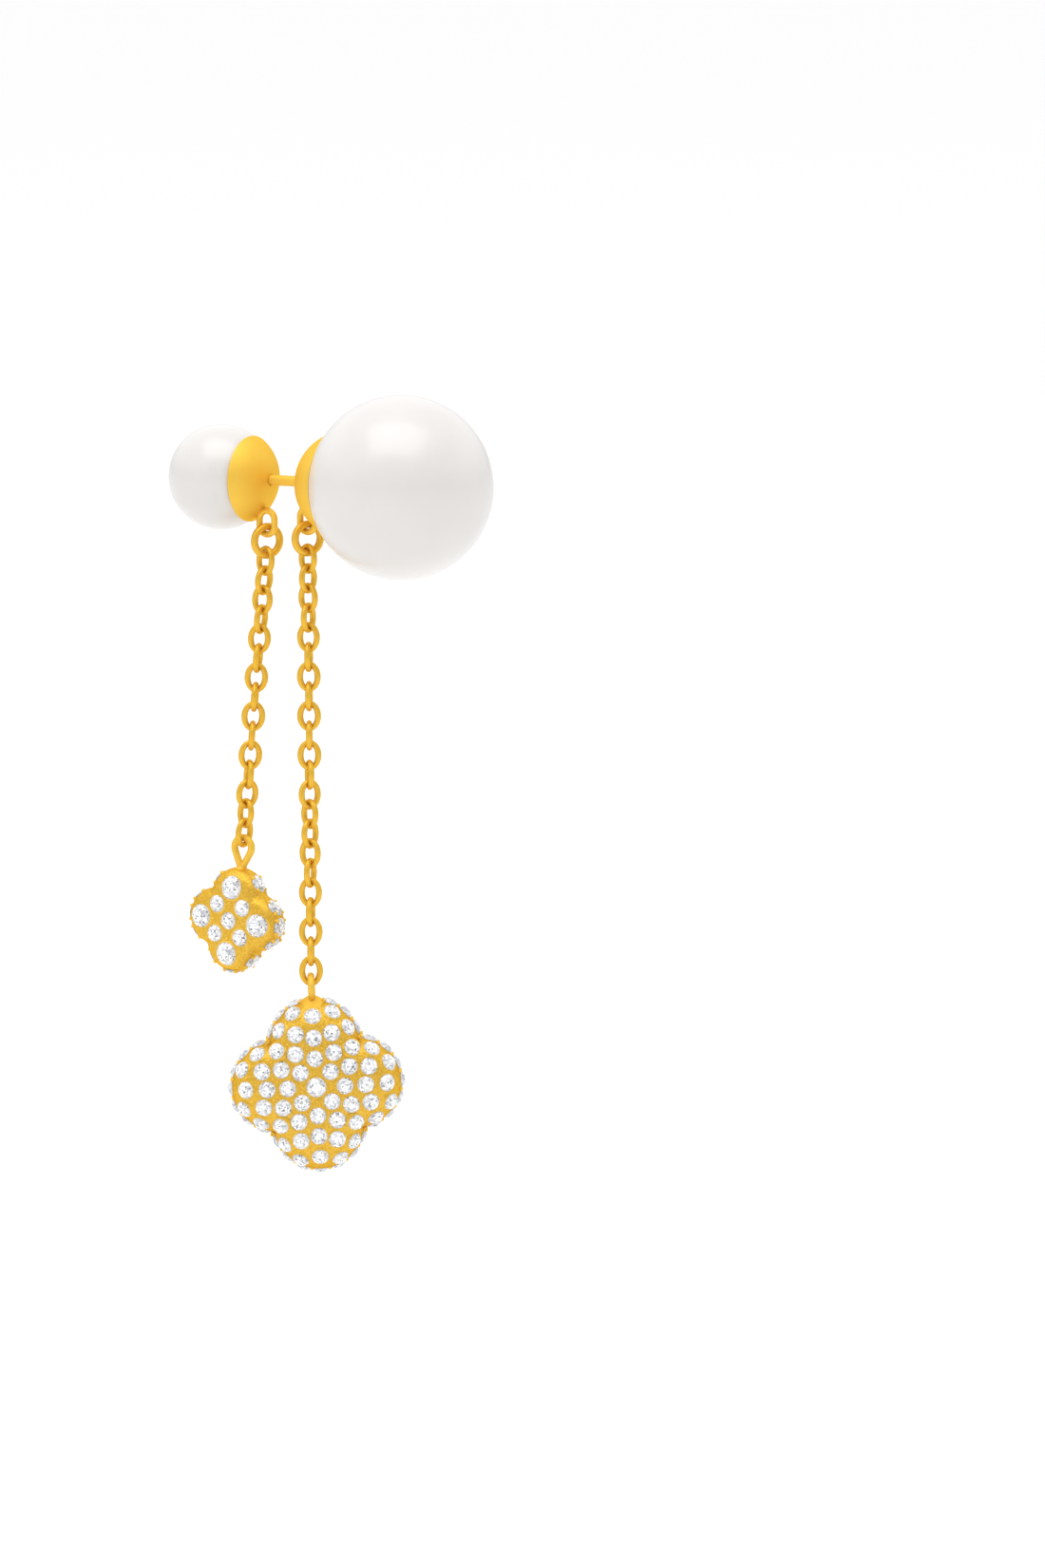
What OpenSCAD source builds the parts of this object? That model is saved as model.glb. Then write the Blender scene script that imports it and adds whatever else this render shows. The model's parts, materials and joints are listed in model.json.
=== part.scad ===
// Ear jacket earring: a large pearl on an ear post, a small pearl that slides on the post from behind
// the ear, and two cable chains that end in puffed four-lobed drops set with stones.
// Millimetres. +Z is up, the post runs along Y, and the large pearl faces -Y.
// The origin is in the middle of the bare stretch of the post, where the ear lobe sits.

/* [Post] */
// Diameter of the ear post
post_d = 0.8; // [0.7:0.05:1]
// Bare length of the post between the two cups
post_bare = 2.9; // [2.2:0.1:6]
// Length of the post past the bare stretch, inside the sleeve
post_tail = 5.4; // [4:0.2:6.4]
// Depth of the grip groove turned in the post
groove_depth = 0.16; // [0.16:0.01:0.2]
// Width of the grip groove
groove_w = 0.5; // [0.5:0.05:0.8]
// Distance from the groove to the end of the bare stretch
groove_inset = 0.05; // [0.05:0.05:0.3]
// Radial clearance between the post and the sleeve
slide_gap = 0.04; // [0.02:0.01:0.08]

/* [Pearls] */
// Diameter of the large pearl in front of the ear
front_pearl_d = 14; // [12.5:0.5:15]
// Diameter of the small pearl behind the ear
back_pearl_d = 8; // [7.5:0.25:9]
// Diameter of the peg that holds the large pearl
peg_d = 1; // [0.8:0.1:1.4]
// Length of the peg inside the large pearl
peg_l = 3; // [2:0.5:5]
// Outer diameter of the sleeve in the small pearl
sleeve_d = 1.7; // [1.5:0.1:2]
// Length of the sleeve past the end of the post
sleeve_over = 0.4; // [0.2:0.1:0.8]
// Layer of glue between pearl and metal
glue_gap = 0.03; // [0.02:0.01:0.06]

/* [Cups] */
// Radius of the front cup's round back
front_cup_r = 4.1; // [3.9:0.05:4.3]
// Radius of the front cup's rim
front_rim_r = 3.86; // [3.6:0.05:3.88]
// Metal between the large pearl and the top of its cup
front_crown = 1.85; // [1.6:0.05:2]
// Radius of the back cup's round back
back_cup_r = 3.88; // [3.7:0.05:4]
// Radius of the back cup's rim
back_rim_r = 3.3; // [3.1:0.05:3.45]
// Metal between the small pearl and the top of its cup
back_crown = 0.57; // [0.5:0.05:0.7]

/* [Loops and jump rings] */
// Wire of the loops under the cups
loop_wire = 0.45; // [0.4:0.05:0.55]
// Outer width of a loop
loop_w = 1.85; // [1.75:0.05:2.1]
// Outer height of a loop
loop_h = 2.3; // [2.2:0.05:2.6]
// Depth to which the front loop is sunk in its cup
front_loop_sink = 0.45; // [0.3:0.05:0.6]
// Depth to which the back loop is sunk in its cup
back_loop_sink = 0.17; // [0.12:0.01:0.3]
// Angle of the front loop below the post
front_loop_angle = 38; // [35:1:41]
// Angle of the back loop below the post
back_loop_angle = 43.2; // [40:0.2:46]
// Wire of the jump rings
ring_wire = 0.5; // [0.4:0.05:0.55]
// Outer diameter of a jump ring
ring_d = 2.74; // [2.6:0.02:2.9]
// Turn of the jump rings about the vertical
ring_turn = -27; // [-36:1:-18]

/* [Chains] */
// Number of links in the front chain
front_links = 22; // [18:2:26]
// Number of links in the back chain
back_links = 15; // [11:2:19]
// Outer length of a link
link_l = 2.33; // [2.28:0.01:2.6]
// Outer width of a link
link_w = 1.75; // [1.65:0.01:1.95]
// Wire of the links
link_wire = 0.33; // [0.28:0.01:0.34]
// Gap where one link, ring or loop hangs in the next
hang_gap = 0.175; // [0.15:0.005:0.2]
// Lean of the front chain, towards the back of the ear
front_lean = -0.46; // [-2:0.02:2]
// Lean of the back chain, towards the back of the ear
back_lean = 5.4; // [3:0.1:8]

/* [Large drop] */
// Distance from the middle to the centre of a lobe
large_offset = 3.14; // [3:0.02:3.4]
// Radius of a lobe's outline in metal
large_lobe_r = 3.23; // [3.1:0.01:3.5]
// Half of the thickness in metal
large_half = 2.35; // [2.25:0.05:2.7]
// Turn of the face about the vertical
face_turn = -57; // [-60:1:-54]
// Tilt of the drop in its own plane
large_tilt = 2.7; // [0:0.1:5]
// Diameter of the stone in the middle of a face
large_centre_d = 1.55; // [1.3:0.01:1.6]
// Diameter of the other stones on the faces
large_stone_d = 1.3; // [1:0.01:1.3]
// Diameter of the stones round the edge
large_edge_d = 1.24; // [1:0.01:1.24]
// Wire of the bail
bail_wire = 0.5; // [0.4:0.05:0.55]
// Outer diameter of the bail
bail_d = 2.35; // [2.2:0.05:2.6]
// Depth to which the bail is sunk in the drop
bail_sink = 0.25; // [0.2:0.05:0.4]

/* [Small drop] */
// Distance from the middle to the centre of a lobe
small_offset = 1.9; // [1.85:0.01:2.1]
// Radius of a lobe's outline in metal
small_lobe_r = 1.94; // [1.7:0.01:2.05]
// Half of the thickness in metal
small_half = 1.2; // [1.15:0.05:1.4]
// Diameter of the large stones on the lobes
lobe_stone_d = 1.8; // [1.5:0.01:1.8]
// Diameter of the small stones on the faces
small_stone_d = 1.34; // [1.1:0.01:1.34]
// Diameter of the stones round the edge
small_edge_d = 1.26; // [1:0.01:1.26]
// Wire of the pear-shaped loop
pear_wire = 0.5; // [0.4:0.05:0.55]
// Outer width of the pear-shaped loop
pear_w = 2.06; // [1.95:0.02:2.3]
// Outer height of the pear-shaped loop
pear_h = 3; // [2.9:0.05:3.4]
// Depth to which the pear-shaped loop is sunk in the drop
pear_sink = 0.3; // [0.25:0.05:0.4]

/* [Stones] */
// Height of a stone's crown as a share of its diameter
crown_share = 0.29; // [0.2:0.01:0.3]
// Width of a stone's table as a share of its diameter
table_share = 0.58; // [0.5:0.01:0.65]
// Gap between a stone and the metal under it
seat_gap = 0.05; // [0.04:0.01:0.08]

/* [Hidden] */

gold = [0.92, 0.71, 0.27];
nacre = [0.91, 0.89, 0.88];
crystal = [0.86, 0.89, 0.93];

// Roundness of the true curves, and sides of the meshed wires, links, stones and drops
fine = 64;
wire_sides = 6;
link_sides = 12;
bail_sides = 16;
stone_sides = 8;
drop_sides = 48;
drop_rings = 7;

// Fullness of a drop's cushion shape, and degrees over which the notch between two lobes is rounded
puff = 5;
notch_round = 4;

// Step used to find the slope of a drop's face
slope_step = 0.02;

// Places along the post
front_cup_y = -post_bare / 2;
back_cup_y = post_bare / 2;
front_pearl_y = front_cup_y - front_crown - front_pearl_d / 2;
back_pearl_y = back_cup_y + back_crown + back_pearl_d / 2;
front_dome_y = front_cup_y - front_cup_r;
back_dome_y = back_cup_y + back_cup_r;
post_end_y = back_cup_y + post_tail;
groove_y = back_cup_y - groove_inset;
sleeve_end_y = post_end_y + sleeve_over;

// Places of the loops: they lie in the plane of the post, on the round backs of the cups
loop_end_r = loop_w / 2;
loop_leg = loop_h - loop_w;
loop_hole_z = loop_h / 2 - loop_wire;
function loop_reach(angle) = let (lift = sin(angle) * loop_leg / 2)
    lift + sqrt(loop_end_r * loop_end_r - loop_leg * loop_leg / 4 + lift * lift);
front_loop_out = front_cup_r + loop_reach(front_loop_angle) - front_loop_sink;
back_loop_out = back_cup_r + loop_reach(back_loop_angle) - back_loop_sink;
front_loop_y = front_dome_y + front_loop_out * cos(front_loop_angle);
front_loop_z = -front_loop_out * sin(front_loop_angle);
back_loop_y = back_dome_y - back_loop_out * cos(back_loop_angle);
back_loop_z = -back_loop_out * sin(back_loop_angle);

// The jump rings hang in the loops, and the chains in the jump rings
ring_hole_r = ring_d / 2 - ring_wire;
ring_drop = loop_hole_z - hang_gap + ring_hole_r;
front_ring_z = front_loop_z - ring_drop;
back_ring_z = back_loop_z - ring_drop;
pitch = link_l - 2 * link_wire - hang_gap;
first_link = ring_hole_r - hang_gap + link_l / 2 - link_wire;
front_hang = first_link + (front_links - 1) * pitch + link_l / 2 - link_wire / 2;
back_hang = first_link + (back_links - 1) * pitch + link_l / 2 - link_wire / 2;

// Twist of a chain in degrees, from its top, 0, to its bottom, 1
FRONT_TWIST = [[0, -45], [0.1, -40], [0.24, -8], [0.48, 0], [0.64, 46], [0.8, 74], [1, 90]];
BACK_TWIST = [[0, -45], [0.1, -40], [0.3, -15], [0.6, 0], [0.72, 5], [0.85, 24], [1, 50]];

// Below its hanging point a drop's bail rises by the wire and the gap, and its metal starts lower
large_tip = large_offset + large_lobe_r;
large_centre = bail_d - bail_wire - hang_gap - link_wire / 2 - bail_sink + large_tip;
bail_centre = bail_d / 2 - bail_wire - hang_gap - link_wire / 2;
small_tip = small_offset + small_lobe_r;
small_centre = pear_h - pear_wire - hang_gap - link_wire / 2 - pear_sink + small_tip;
pear_top = pear_wire + hang_gap + link_wire / 2;

// Stones of one lobe of the large drop, as shares of the reach from its middle to its tip:
// along the lobe, to the side. The second table holds stones between two lobes.
LARGE_LOBE = [[0.341, 0], [0.587, 0], [0.84, 0], [0.405, 0.228], [0.405, -0.228],
    [0.637, 0.215], [0.637, -0.215], [0.87, 0.234], [0.87, -0.234], [0.68, 0.408], [0.68, -0.408]];
LARGE_BETWEEN = [[0.179, 0.179], [0.441, 0.441]];
// Stones of one lobe of the small drop, as shares of its reach, and those between two lobes
SMALL_LOBE = [[0.664, 0]];
SMALL_BETWEEN = [[0.3, 0.3]];
// Degrees about a lobe's centre at which the stones of the edge sit
LARGE_EDGE = [-72, -48, -24, 0, 24, 48, 72];
SMALL_SIDE_EDGE = [-45, 0, 45];
SMALL_END_EDGE = [-57, 0, 57];
LOBES = [0, 90, 180, 270];
SIDE_LOBES = [0, 180];
END_LOBES = [90, 270];
TOP_LOBE = 90;

// Unit vector, and a point turned about the vertical
function unit(v) = v / norm(v);
function turned(p, a) = [p.x * cos(a) - p.y * sin(a), p.x * sin(a) + p.y * cos(a)];

// Triangles of a closed grid of rows and columns, and of many equal shells one after another
function grid_faces(rows, columns, close_rows) = [
    for (i = [0 : rows - (close_rows ? 1 : 2)], j = [0 : columns - 1])
        let (a = i * columns + j, d = i * columns + (j + 1) % columns,
            b = ((i + 1) % rows) * columns + j, c = ((i + 1) % rows) * columns + (j + 1) % columns)
        each [[a, d, c], [a, c, b]]];
function shell_faces(faces, size, count) = [for (k = [0 : count - 1], f = faces) [for (v = f) v + k * size]];

// Points of a round wire bent along a closed flat path: across the path's plane, up, and out of it
function wire_points(path, r) = [
    for (i = [0 : len(path) - 1])
        let (n = len(path), before = unit(path[i] - path[(i + n - 1) % n]),
            after = unit(path[(i + 1) % n] - path[i]), along = unit(before + after),
            out = [along.y, -along.x], stretch = r / (along * after))
        for (j = [0 : wire_sides - 1])
            let (a = 360 * (j + 0.5) / wire_sides, q = path[i] + out * stretch * cos(a))
            [q.x, q.y, r * sin(a)]];
function oval_path(w, h, n) = [for (i = [0 : n - 1]) [w / 2 * sin(-360 * i / n), h / 2 * cos(360 * i / n)]];

// A link's points, turned about the vertical and hung at its own height
function link_points(k, count, twist) =
    let (g = face_turn + lookup(k / (count - 1), twist) + (k % 2) * 90, z = -first_link - k * pitch)
    [for (p = wire_points(oval_path(link_w - link_wire, link_l - link_wire, link_sides), link_wire / 2))
        [p.x * cos(g) + p.z * sin(g), p.x * sin(g) - p.z * cos(g), p.y + z]];

// Outline of a drop: reach of the metal in direction t, with the notches rounded
function lobe_turn(t) = let (d = 45 - abs(t - 90 * round(t / 90)))
    45 - sqrt(d * d + notch_round * notch_round);
function drop_reach(t, offset, r) = let (m = lobe_turn(t))
    offset * cos(m) + sqrt(r * r - pow(offset * sin(m), 2));

// Height of a drop's face over the point q of its middle plane, and its slope there
function face_height(q, offset, r, half) =
    let (s = norm(q) / drop_reach(atan2(q.y, q.x), offset, r)) half * sqrt(max(0, 1 - pow(s, puff)));
function face_normal(q, offset, r, half) =
    let (e = slope_step,
        dx = face_height(q + [e, 0], offset, r, half) - face_height(q - [e, 0], offset, r, half),
        dy = face_height(q + [0, e], offset, r, half) - face_height(q - [0, e], offset, r, half))
    unit([-dx, -dy, 2 * e]);

// Two directions across a seat, from the direction that it faces
function seat_u(n) = unit(cross([n.y * n.y + 0.01, 1, n.x], n));
function seat_v(n) = cross(n, seat_u(n));

// Seat of a stone on a face: place, direction and diameter. It is lifted until the metal under its
// girdle clears it.
function face_seat(q, d, offset, r, half) =
    let (n = face_normal(q, offset, r, half), p = [q.x, q.y, face_height(q, offset, r, half)],
        u = seat_u(n), v = seat_v(n),
        lift = max([for (a = [0 : 30 : 330], f = [0.5, 1])
            let (c = (u * cos(a) + v * sin(a)) * f * d / 2, g = [q.x + c.x, q.y + c.y])
            ([g.x, g.y, face_height(g, offset, r, half)] - p) * n]))
    [p + n * (max(0, lift) + seat_gap), n, d];
function face_seats(spots, d, offset, r, half) = [for (q = spots) face_seat(q, d, offset, r, half)];
function rear(seats) = [for (s = seats) [[s[0].x, s[0].y, -s[0].z], [s[1].x, s[1].y, -s[1].z], s[2]]];

// Seat of a stone on the edge, at the given degrees about the centre of a lobe
function edge_seat(lobe, a, d, offset, r) =
    let (n = turned([cos(a), sin(a)], lobe), t = [-n.y, n.x],
        p = turned([offset, 0], lobe) + n * r,
        lift = max([for (f = [-1, -0.5, 0, 0.5, 1])
            let (g = p + t * f * d / 2, over = drop_reach(atan2(g.y, g.x), offset, r) - norm(g))
            over / max(0.3, unit(g) * n)]),
        q = p + n * (max(0, lift) + seat_gap))
    [[q.x, q.y, 0], [n.x, n.y, 0], d];
function edge_seats(lobes, angles, d, offset, r) = [for (lobe = lobes, a = angles)
    if (lobe != TOP_LOBE || a != 0) edge_seat(lobe, a, d, offset, r)];

// Places of the stones on one face, from the chart of a lobe and of the ground between two lobes
function spots(chart, tip) = [for (lobe = LOBES, c = chart) turned(c * tip, lobe)];

// A cut stone's points: the girdle, and the table above it
function stone_points(seat) =
    let (u = seat_u(seat[1]), v = seat_v(seat[1]), r = seat[2] / 2)
    [for (level = [0, 1], j = [0 : stone_sides - 1])
        let (a = 360 * (j + 0.5) / stone_sides, w = level == 0 ? r : r * table_share)
        seat[0] + (u * cos(a) + v * sin(a)) * w + seat[1] * level * crown_share * seat[2]];
function stone_faces() = concat(
    [[for (j = [0 : stone_sides - 1]) j]],
    [[for (j = [stone_sides - 1 : -1 : 0]) stone_sides + j]],
    [for (j = [0 : stone_sides - 1]) let (k = (j + 1) % stone_sides)
        [j, stone_sides + j, stone_sides + k, k]]);

// Cut stones, one loose solid for each seat
module stones(seats) {
    polyhedron([for (s = seats) each stone_points(s)],
        shell_faces(stone_faces(), 2 * stone_sides, len(seats)), convexity = 8);
}

// Metal of a drop: a cushion over the four-lobed outline
module drop_metal(offset, r, half) {
    n = drop_sides;
    rows = 2 * drop_rings - 1;
    ring = [for (i = [1 : rows]) let (f = 90 * i / drop_rings, s = pow(sin(f), 2 / puff))
        for (j = [0 : n - 1]) let (t = 360 * j / n, w = s * drop_reach(t, offset, r))
            [w * cos(t), w * sin(t), half * cos(f)]];
    points = concat(ring, [[0, 0, half], [0, 0, -half]]);
    last = (rows - 1) * n;
    caps = [for (j = [0 : n - 1]) let (k = (j + 1) % n)
        each [[rows * n, k, j], [rows * n + 1, last + j, last + k]]];
    polyhedron(points, concat(grid_faces(rows, n, false), caps), convexity = 8);
}

// Wire bent to a closed ring along a flat path, standing upright
module bent_wire(path, r) {
    rotate([90, 0, 0])
        polyhedron(wire_points(path, r), grid_faces(len(path), wire_sides, true), convexity = 4);
}

// Pear-shaped path: a half circle on top, and two straight legs that meet in a point below
function pear_path(w, h, n) =
    let (r = w / 2, c = h - r, a = asin(r / c))
    concat([for (i = [0 : n]) let (t = -a + (180 + 2 * a) * i / n) [r * cos(t), r * sin(t) - r]],
        [[0, -h]]);

// Ring of true round wire with two straight legs, upright in the plane of the post
module oval_loop() {
    leg_r = loop_end_r - loop_wire / 2;
    rotate([90, 0, 90]) {
        for (up = [0, 1]) rotate(180 * up) translate([0, loop_leg / 2, 0])
            rotate_extrude(angle = 180, $fn = fine)
                translate([leg_r, 0]) circle(d = loop_wire, $fn = fine);
        for (side = [-1, 1]) translate([side * leg_r, 0, 0]) rotate([90, 0, 0])
            cylinder(d = loop_wire, h = loop_leg, center = true, $fn = fine);
    }
}

// Round back of a cup, hollowed for its pearl and cut off at the rim. It opens towards +Z from its top.
module cup(cup_r, rim_r, crown, pearl_d) {
    difference() {
        translate([0, 0, cup_r]) sphere(r = cup_r, $fn = fine);
        translate([0, 0, crown + pearl_d / 2]) sphere(r = pearl_d / 2 + glue_gap, $fn = fine);
        translate([-cup_r - 1, -cup_r - 1, cup_r - sqrt(cup_r * cup_r - rim_r * rim_r)])
            cube([2 * cup_r + 2, 2 * cup_r + 2, 2 * cup_r]);
    }
}

// Jump ring, upright and turned about the vertical
module jump_ring() {
    rotate([90, 0, ring_turn]) rotate_extrude($fn = fine)
        translate([ring_d / 2 - ring_wire / 2, 0]) circle(d = ring_wire, $fn = fine);
}

// Chain of loose links that hangs from the middle of a jump ring
module chain(count, twist) {
    polyhedron([for (k = [0 : count - 1]) each link_points(k, count, twist)],
        shell_faces(grid_faces(link_sides, wire_sides, true), link_sides * wire_sides, count),
        convexity = 8);
}

// Places where the strands hang, and where the drops' middles are
module front_strand() { translate([0, front_loop_y, front_ring_z]) rotate([front_lean, 0, 0]) children(); }
module back_strand() { translate([0, back_loop_y, back_ring_z]) rotate([back_lean, 0, 0]) children(); }
module at_large_hang() {
    front_strand() translate([0, 0, -front_hang]) rotate([0, 0, face_turn]) rotate([0, -large_tilt, 0])
        children();
}
module at_large_middle() { at_large_hang() translate([0, 0, -large_centre]) rotate([90, 0, 0]) children(); }
module at_small_hang() { back_strand() translate([0, 0, -back_hang]) rotate([0, 0, -90]) children(); }
module at_small_middle() { at_small_hang() translate([0, 0, -small_centre]) rotate([90, 0, 0]) children(); }

// Large pearl, half drilled for its peg
module front_pearl() color(nacre) difference() {
    translate([0, front_pearl_y, 0]) sphere(d = front_pearl_d, $fn = fine);
    translate([0, front_pearl_y + front_pearl_d / 2 - peg_l - 2 * glue_gap, 0]) rotate([-90, 0, 0])
        cylinder(d = peg_d + 2 * glue_gap, h = peg_l + 1, $fn = fine);
}

// Front cup, peg, post and loop, soldered into one piece
module front_setting() color(gold) difference() {
    union() {
        translate([0, front_cup_y, 0]) rotate([90, 0, 0])
            cup(front_cup_r, front_rim_r, front_crown, front_pearl_d);
        translate([0, front_pearl_y + front_pearl_d / 2 - peg_l, 0]) rotate([-90, 0, 0])
            cylinder(d = peg_d, h = peg_l + front_crown / 2, $fn = fine);
        translate([0, front_cup_y - front_crown / 2, 0]) rotate([-90, 0, 0])
            cylinder(d = post_d, h = front_crown / 2 + post_bare + post_tail, $fn = fine);
        translate([0, front_loop_y, front_loop_z]) oval_loop();
    }
    translate([0, groove_y, 0]) rotate([-90, 0, 0]) difference() {
        cylinder(d = 2 * post_d, h = groove_w, $fn = fine);
        translate([0, 0, -1]) cylinder(d = post_d - 2 * groove_depth, h = groove_w + 2, $fn = fine);
    }
}

// Jump rings of the two strands
module front_ring() color(gold) translate([0, front_loop_y, front_ring_z]) jump_ring();
module back_ring() color(gold) translate([0, back_loop_y, back_ring_z]) jump_ring();

// Cable chains of the two strands
module front_chain() color(gold) front_strand() chain(front_links, FRONT_TWIST);
module back_chain() color(gold) back_strand() chain(back_links, BACK_TWIST);

// Large drop: cushion and bail in one piece
module large_clover() color(gold) {
    at_large_middle() drop_metal(large_offset, large_lobe_r, large_half);
    at_large_hang() translate([0, 0, -bail_centre]) rotate([0, 0, 90])
        bent_wire(oval_path(bail_d - bail_wire, bail_d - bail_wire, bail_sides), bail_wire / 2);
}

// Stones of the large drop
large_centre_seats = face_seats([[0, 0]], large_centre_d, large_offset, large_lobe_r, large_half);
large_field_seats = face_seats(concat(spots(LARGE_LOBE, large_tip), spots(LARGE_BETWEEN, large_tip)),
    large_stone_d, large_offset, large_lobe_r, large_half);
module large_centre_stone_front() color(crystal) at_large_middle() stones(large_centre_seats);
module large_centre_stone_rear() color(crystal) at_large_middle() stones(rear(large_centre_seats));
module large_field_front() color(crystal) at_large_middle() stones(large_field_seats);
module large_field_rear() color(crystal) at_large_middle() stones(rear(large_field_seats));
module large_edge_row() color(crystal) at_large_middle()
    stones(edge_seats(LOBES, LARGE_EDGE, large_edge_d, large_offset, large_lobe_r));

// Small pearl, drilled for the sleeve
module back_pearl() color(nacre) difference() {
    translate([0, back_pearl_y, 0]) sphere(d = back_pearl_d, $fn = fine);
    translate([0, back_cup_y, 0]) rotate([-90, 0, 0])
        cylinder(d = sleeve_d + 2 * glue_gap, h = sleeve_end_y - back_cup_y + 2 * glue_gap, $fn = fine);
}

// Back cup, sleeve and loop, soldered into one piece
module back_setting() color(gold) difference() {
    union() {
        translate([0, back_cup_y, 0]) rotate([-90, 0, 0])
            cup(back_cup_r, back_rim_r, back_crown, back_pearl_d);
        translate([0, back_cup_y + back_crown / 2, 0]) rotate([-90, 0, 0])
            cylinder(d = sleeve_d, h = sleeve_end_y - back_cup_y - back_crown / 2, $fn = fine);
        translate([0, back_loop_y, back_loop_z]) oval_loop();
    }
    translate([0, back_cup_y - 1, 0]) rotate([-90, 0, 0])
        cylinder(d = post_d + 2 * slide_gap, h = sleeve_end_y - back_cup_y + 2, $fn = fine);
}

// Small drop: cushion and pear-shaped loop in one piece
module small_clover() color(gold) {
    at_small_middle() drop_metal(small_offset, small_lobe_r, small_half);
    at_small_hang() translate([0, 0, pear_top - pear_wire / 2])
        bent_wire(pear_path(pear_w - pear_wire, pear_h - pear_wire, bail_sides - 4), pear_wire / 2);
}

// Stones of the small drop
lobe_stone_seats = face_seats(spots(SMALL_LOBE, small_tip), lobe_stone_d,
    small_offset, small_lobe_r, small_half);
small_field_seats = face_seats(concat([[0, 0]], spots(SMALL_BETWEEN, small_tip)), small_stone_d,
    small_offset, small_lobe_r, small_half);
module small_lobe_stone(k) color(crystal) at_small_middle() stones([lobe_stone_seats[k - 1]]);
module small_lobe_stone_rear(k) color(crystal) at_small_middle() stones(rear([lobe_stone_seats[k - 1]]));
module small_field_front() color(crystal) at_small_middle() stones(small_field_seats);
module small_field_rear() color(crystal) at_small_middle() stones(rear(small_field_seats));
module small_edge_row() color(crystal) at_small_middle()
    stones(concat(
        edge_seats(SIDE_LOBES, SMALL_SIDE_EDGE, small_edge_d, small_offset, small_lobe_r),
        edge_seats(END_LOBES, SMALL_END_EDGE, small_edge_d, small_offset, small_lobe_r)));

front_pearl();
front_setting();
front_ring();
front_chain();
large_clover();
large_centre_stone_front();
large_centre_stone_rear();
large_field_front();
large_field_rear();
large_edge_row();
back_pearl();
back_setting();
back_ring();
back_chain();
small_clover();
small_lobe_stone(1);  // small_lobe_stone_front_1
small_lobe_stone(2);  // small_lobe_stone_front_2
small_lobe_stone(3);  // small_lobe_stone_front_3
small_lobe_stone(4);  // small_lobe_stone_front_4
small_lobe_stone_rear(1);  // small_lobe_stone_rear_1
small_lobe_stone_rear(2);  // small_lobe_stone_rear_2
small_lobe_stone_rear(3);  // small_lobe_stone_rear_3
small_lobe_stone_rear(4);  // small_lobe_stone_rear_4
small_field_front();
small_field_rear();
small_edge_row();
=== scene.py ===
"""Looks of an ear jacket earring: two pearls in gilt cups on one ear post, two cable chains, and two
puffed four-lobed drops paved with cut stones. Sizes are millimetres until a mesh is made of them."""

import json
import logging
import math
from abc import ABC, abstractmethod
from dataclasses import dataclass, field, replace
from enum import Enum
from itertools import combinations

import bmesh
import bpy
import numpy as np
from mathutils import Matrix, Vector


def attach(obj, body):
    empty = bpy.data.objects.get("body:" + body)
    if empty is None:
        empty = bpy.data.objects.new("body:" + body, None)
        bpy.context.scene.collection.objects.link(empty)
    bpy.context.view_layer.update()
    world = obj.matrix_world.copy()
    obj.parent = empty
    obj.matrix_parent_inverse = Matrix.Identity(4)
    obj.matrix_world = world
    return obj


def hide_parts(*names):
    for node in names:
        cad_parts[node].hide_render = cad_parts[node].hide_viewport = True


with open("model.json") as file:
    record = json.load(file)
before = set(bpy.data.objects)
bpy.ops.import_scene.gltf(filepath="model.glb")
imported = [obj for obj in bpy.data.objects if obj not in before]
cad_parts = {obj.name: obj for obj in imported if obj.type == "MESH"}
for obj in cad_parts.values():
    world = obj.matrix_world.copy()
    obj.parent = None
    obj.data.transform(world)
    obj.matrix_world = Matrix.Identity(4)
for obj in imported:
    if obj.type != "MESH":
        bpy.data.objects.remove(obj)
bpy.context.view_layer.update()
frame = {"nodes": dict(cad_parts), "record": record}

MM = 0.001
LOG = logging.getLogger("earring")
Point = tuple[float, float]
SEED = 7
SIDES = ("front", "rear")
LARGE_FACES = (*(f"large_centre_stone_{side}" for side in SIDES), *(f"large_field_{side}" for side in SIDES))
SMALL_LOBES = tuple(f"small_lobe_stone_{side}_{k}" for side in SIDES for k in range(1, 5))
SMALL_FACES = (*SMALL_LOBES, *(f"small_field_{side}" for side in SIDES))


class Body(Enum):
    """Bodies of the frame that pieces ride on."""

    FRONT = "front"
    FRONT_DROP = "front_drop"
    BACK = "back"
    BACK_DROP = "back_drop"


class Slot(Enum):
    """Material slots of the record."""

    GOLD = "gold_plate"
    PEARL = "pearl"
    CRYSTAL = "crystal"


class Shading(Enum):
    """How the faces of a mesh are shaded."""

    SMOOTH = "smooth"
    FACETED = "faceted"


class DropFinish(Enum):
    """Places of the finishes among the materials of a drop's metal."""

    GRANULAR = 0
    POLISHED = 1


def arc(centre: Point, radius: float, start: float, end: float, steps: int) -> list[Point]:
    """Points of an arc in a flat plane.

    Args:
        centre: Middle of the arc.
        radius: Its radius.
        start: Angle of the first point, in degrees.
        end: Angle of the last point, in degrees.
        steps: Number of stretches.

    Returns:
        The points, first and last included.
    """
    turns = [math.radians(start + (end - start) * i / steps) for i in range(steps + 1)]
    return [(centre[0] + radius * math.cos(t), centre[1] + radius * math.sin(t)) for t in turns]


def fillet(before: Point, corner: Point, after: Point, radius: float, steps: int = 6) -> list[Point]:
    """Points that round one corner of a flat outline.

    Args:
        before: A point of the outline before the corner.
        corner: The sharp corner.
        after: A point of the outline after the corner.
        radius: Radius of the rounding.
        steps: Number of stretches of the curve.

    Returns:
        Points of a quadratic curve that leaves and meets the two sides without a break.
    """
    here = Vector(corner)
    out, on = (Vector(before) - here).normalized(), (Vector(after) - here).normalized()
    reach = radius / max(0.2, math.tan(out.angle(on) / 2))
    first, last = here + out * reach, here + on * reach
    points = []
    for i in range(steps + 1):
        t = i / steps
        points.append(tuple(first * (1 - t) ** 2 + here * 2 * t * (1 - t) + last * t * t))
    return points


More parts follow.
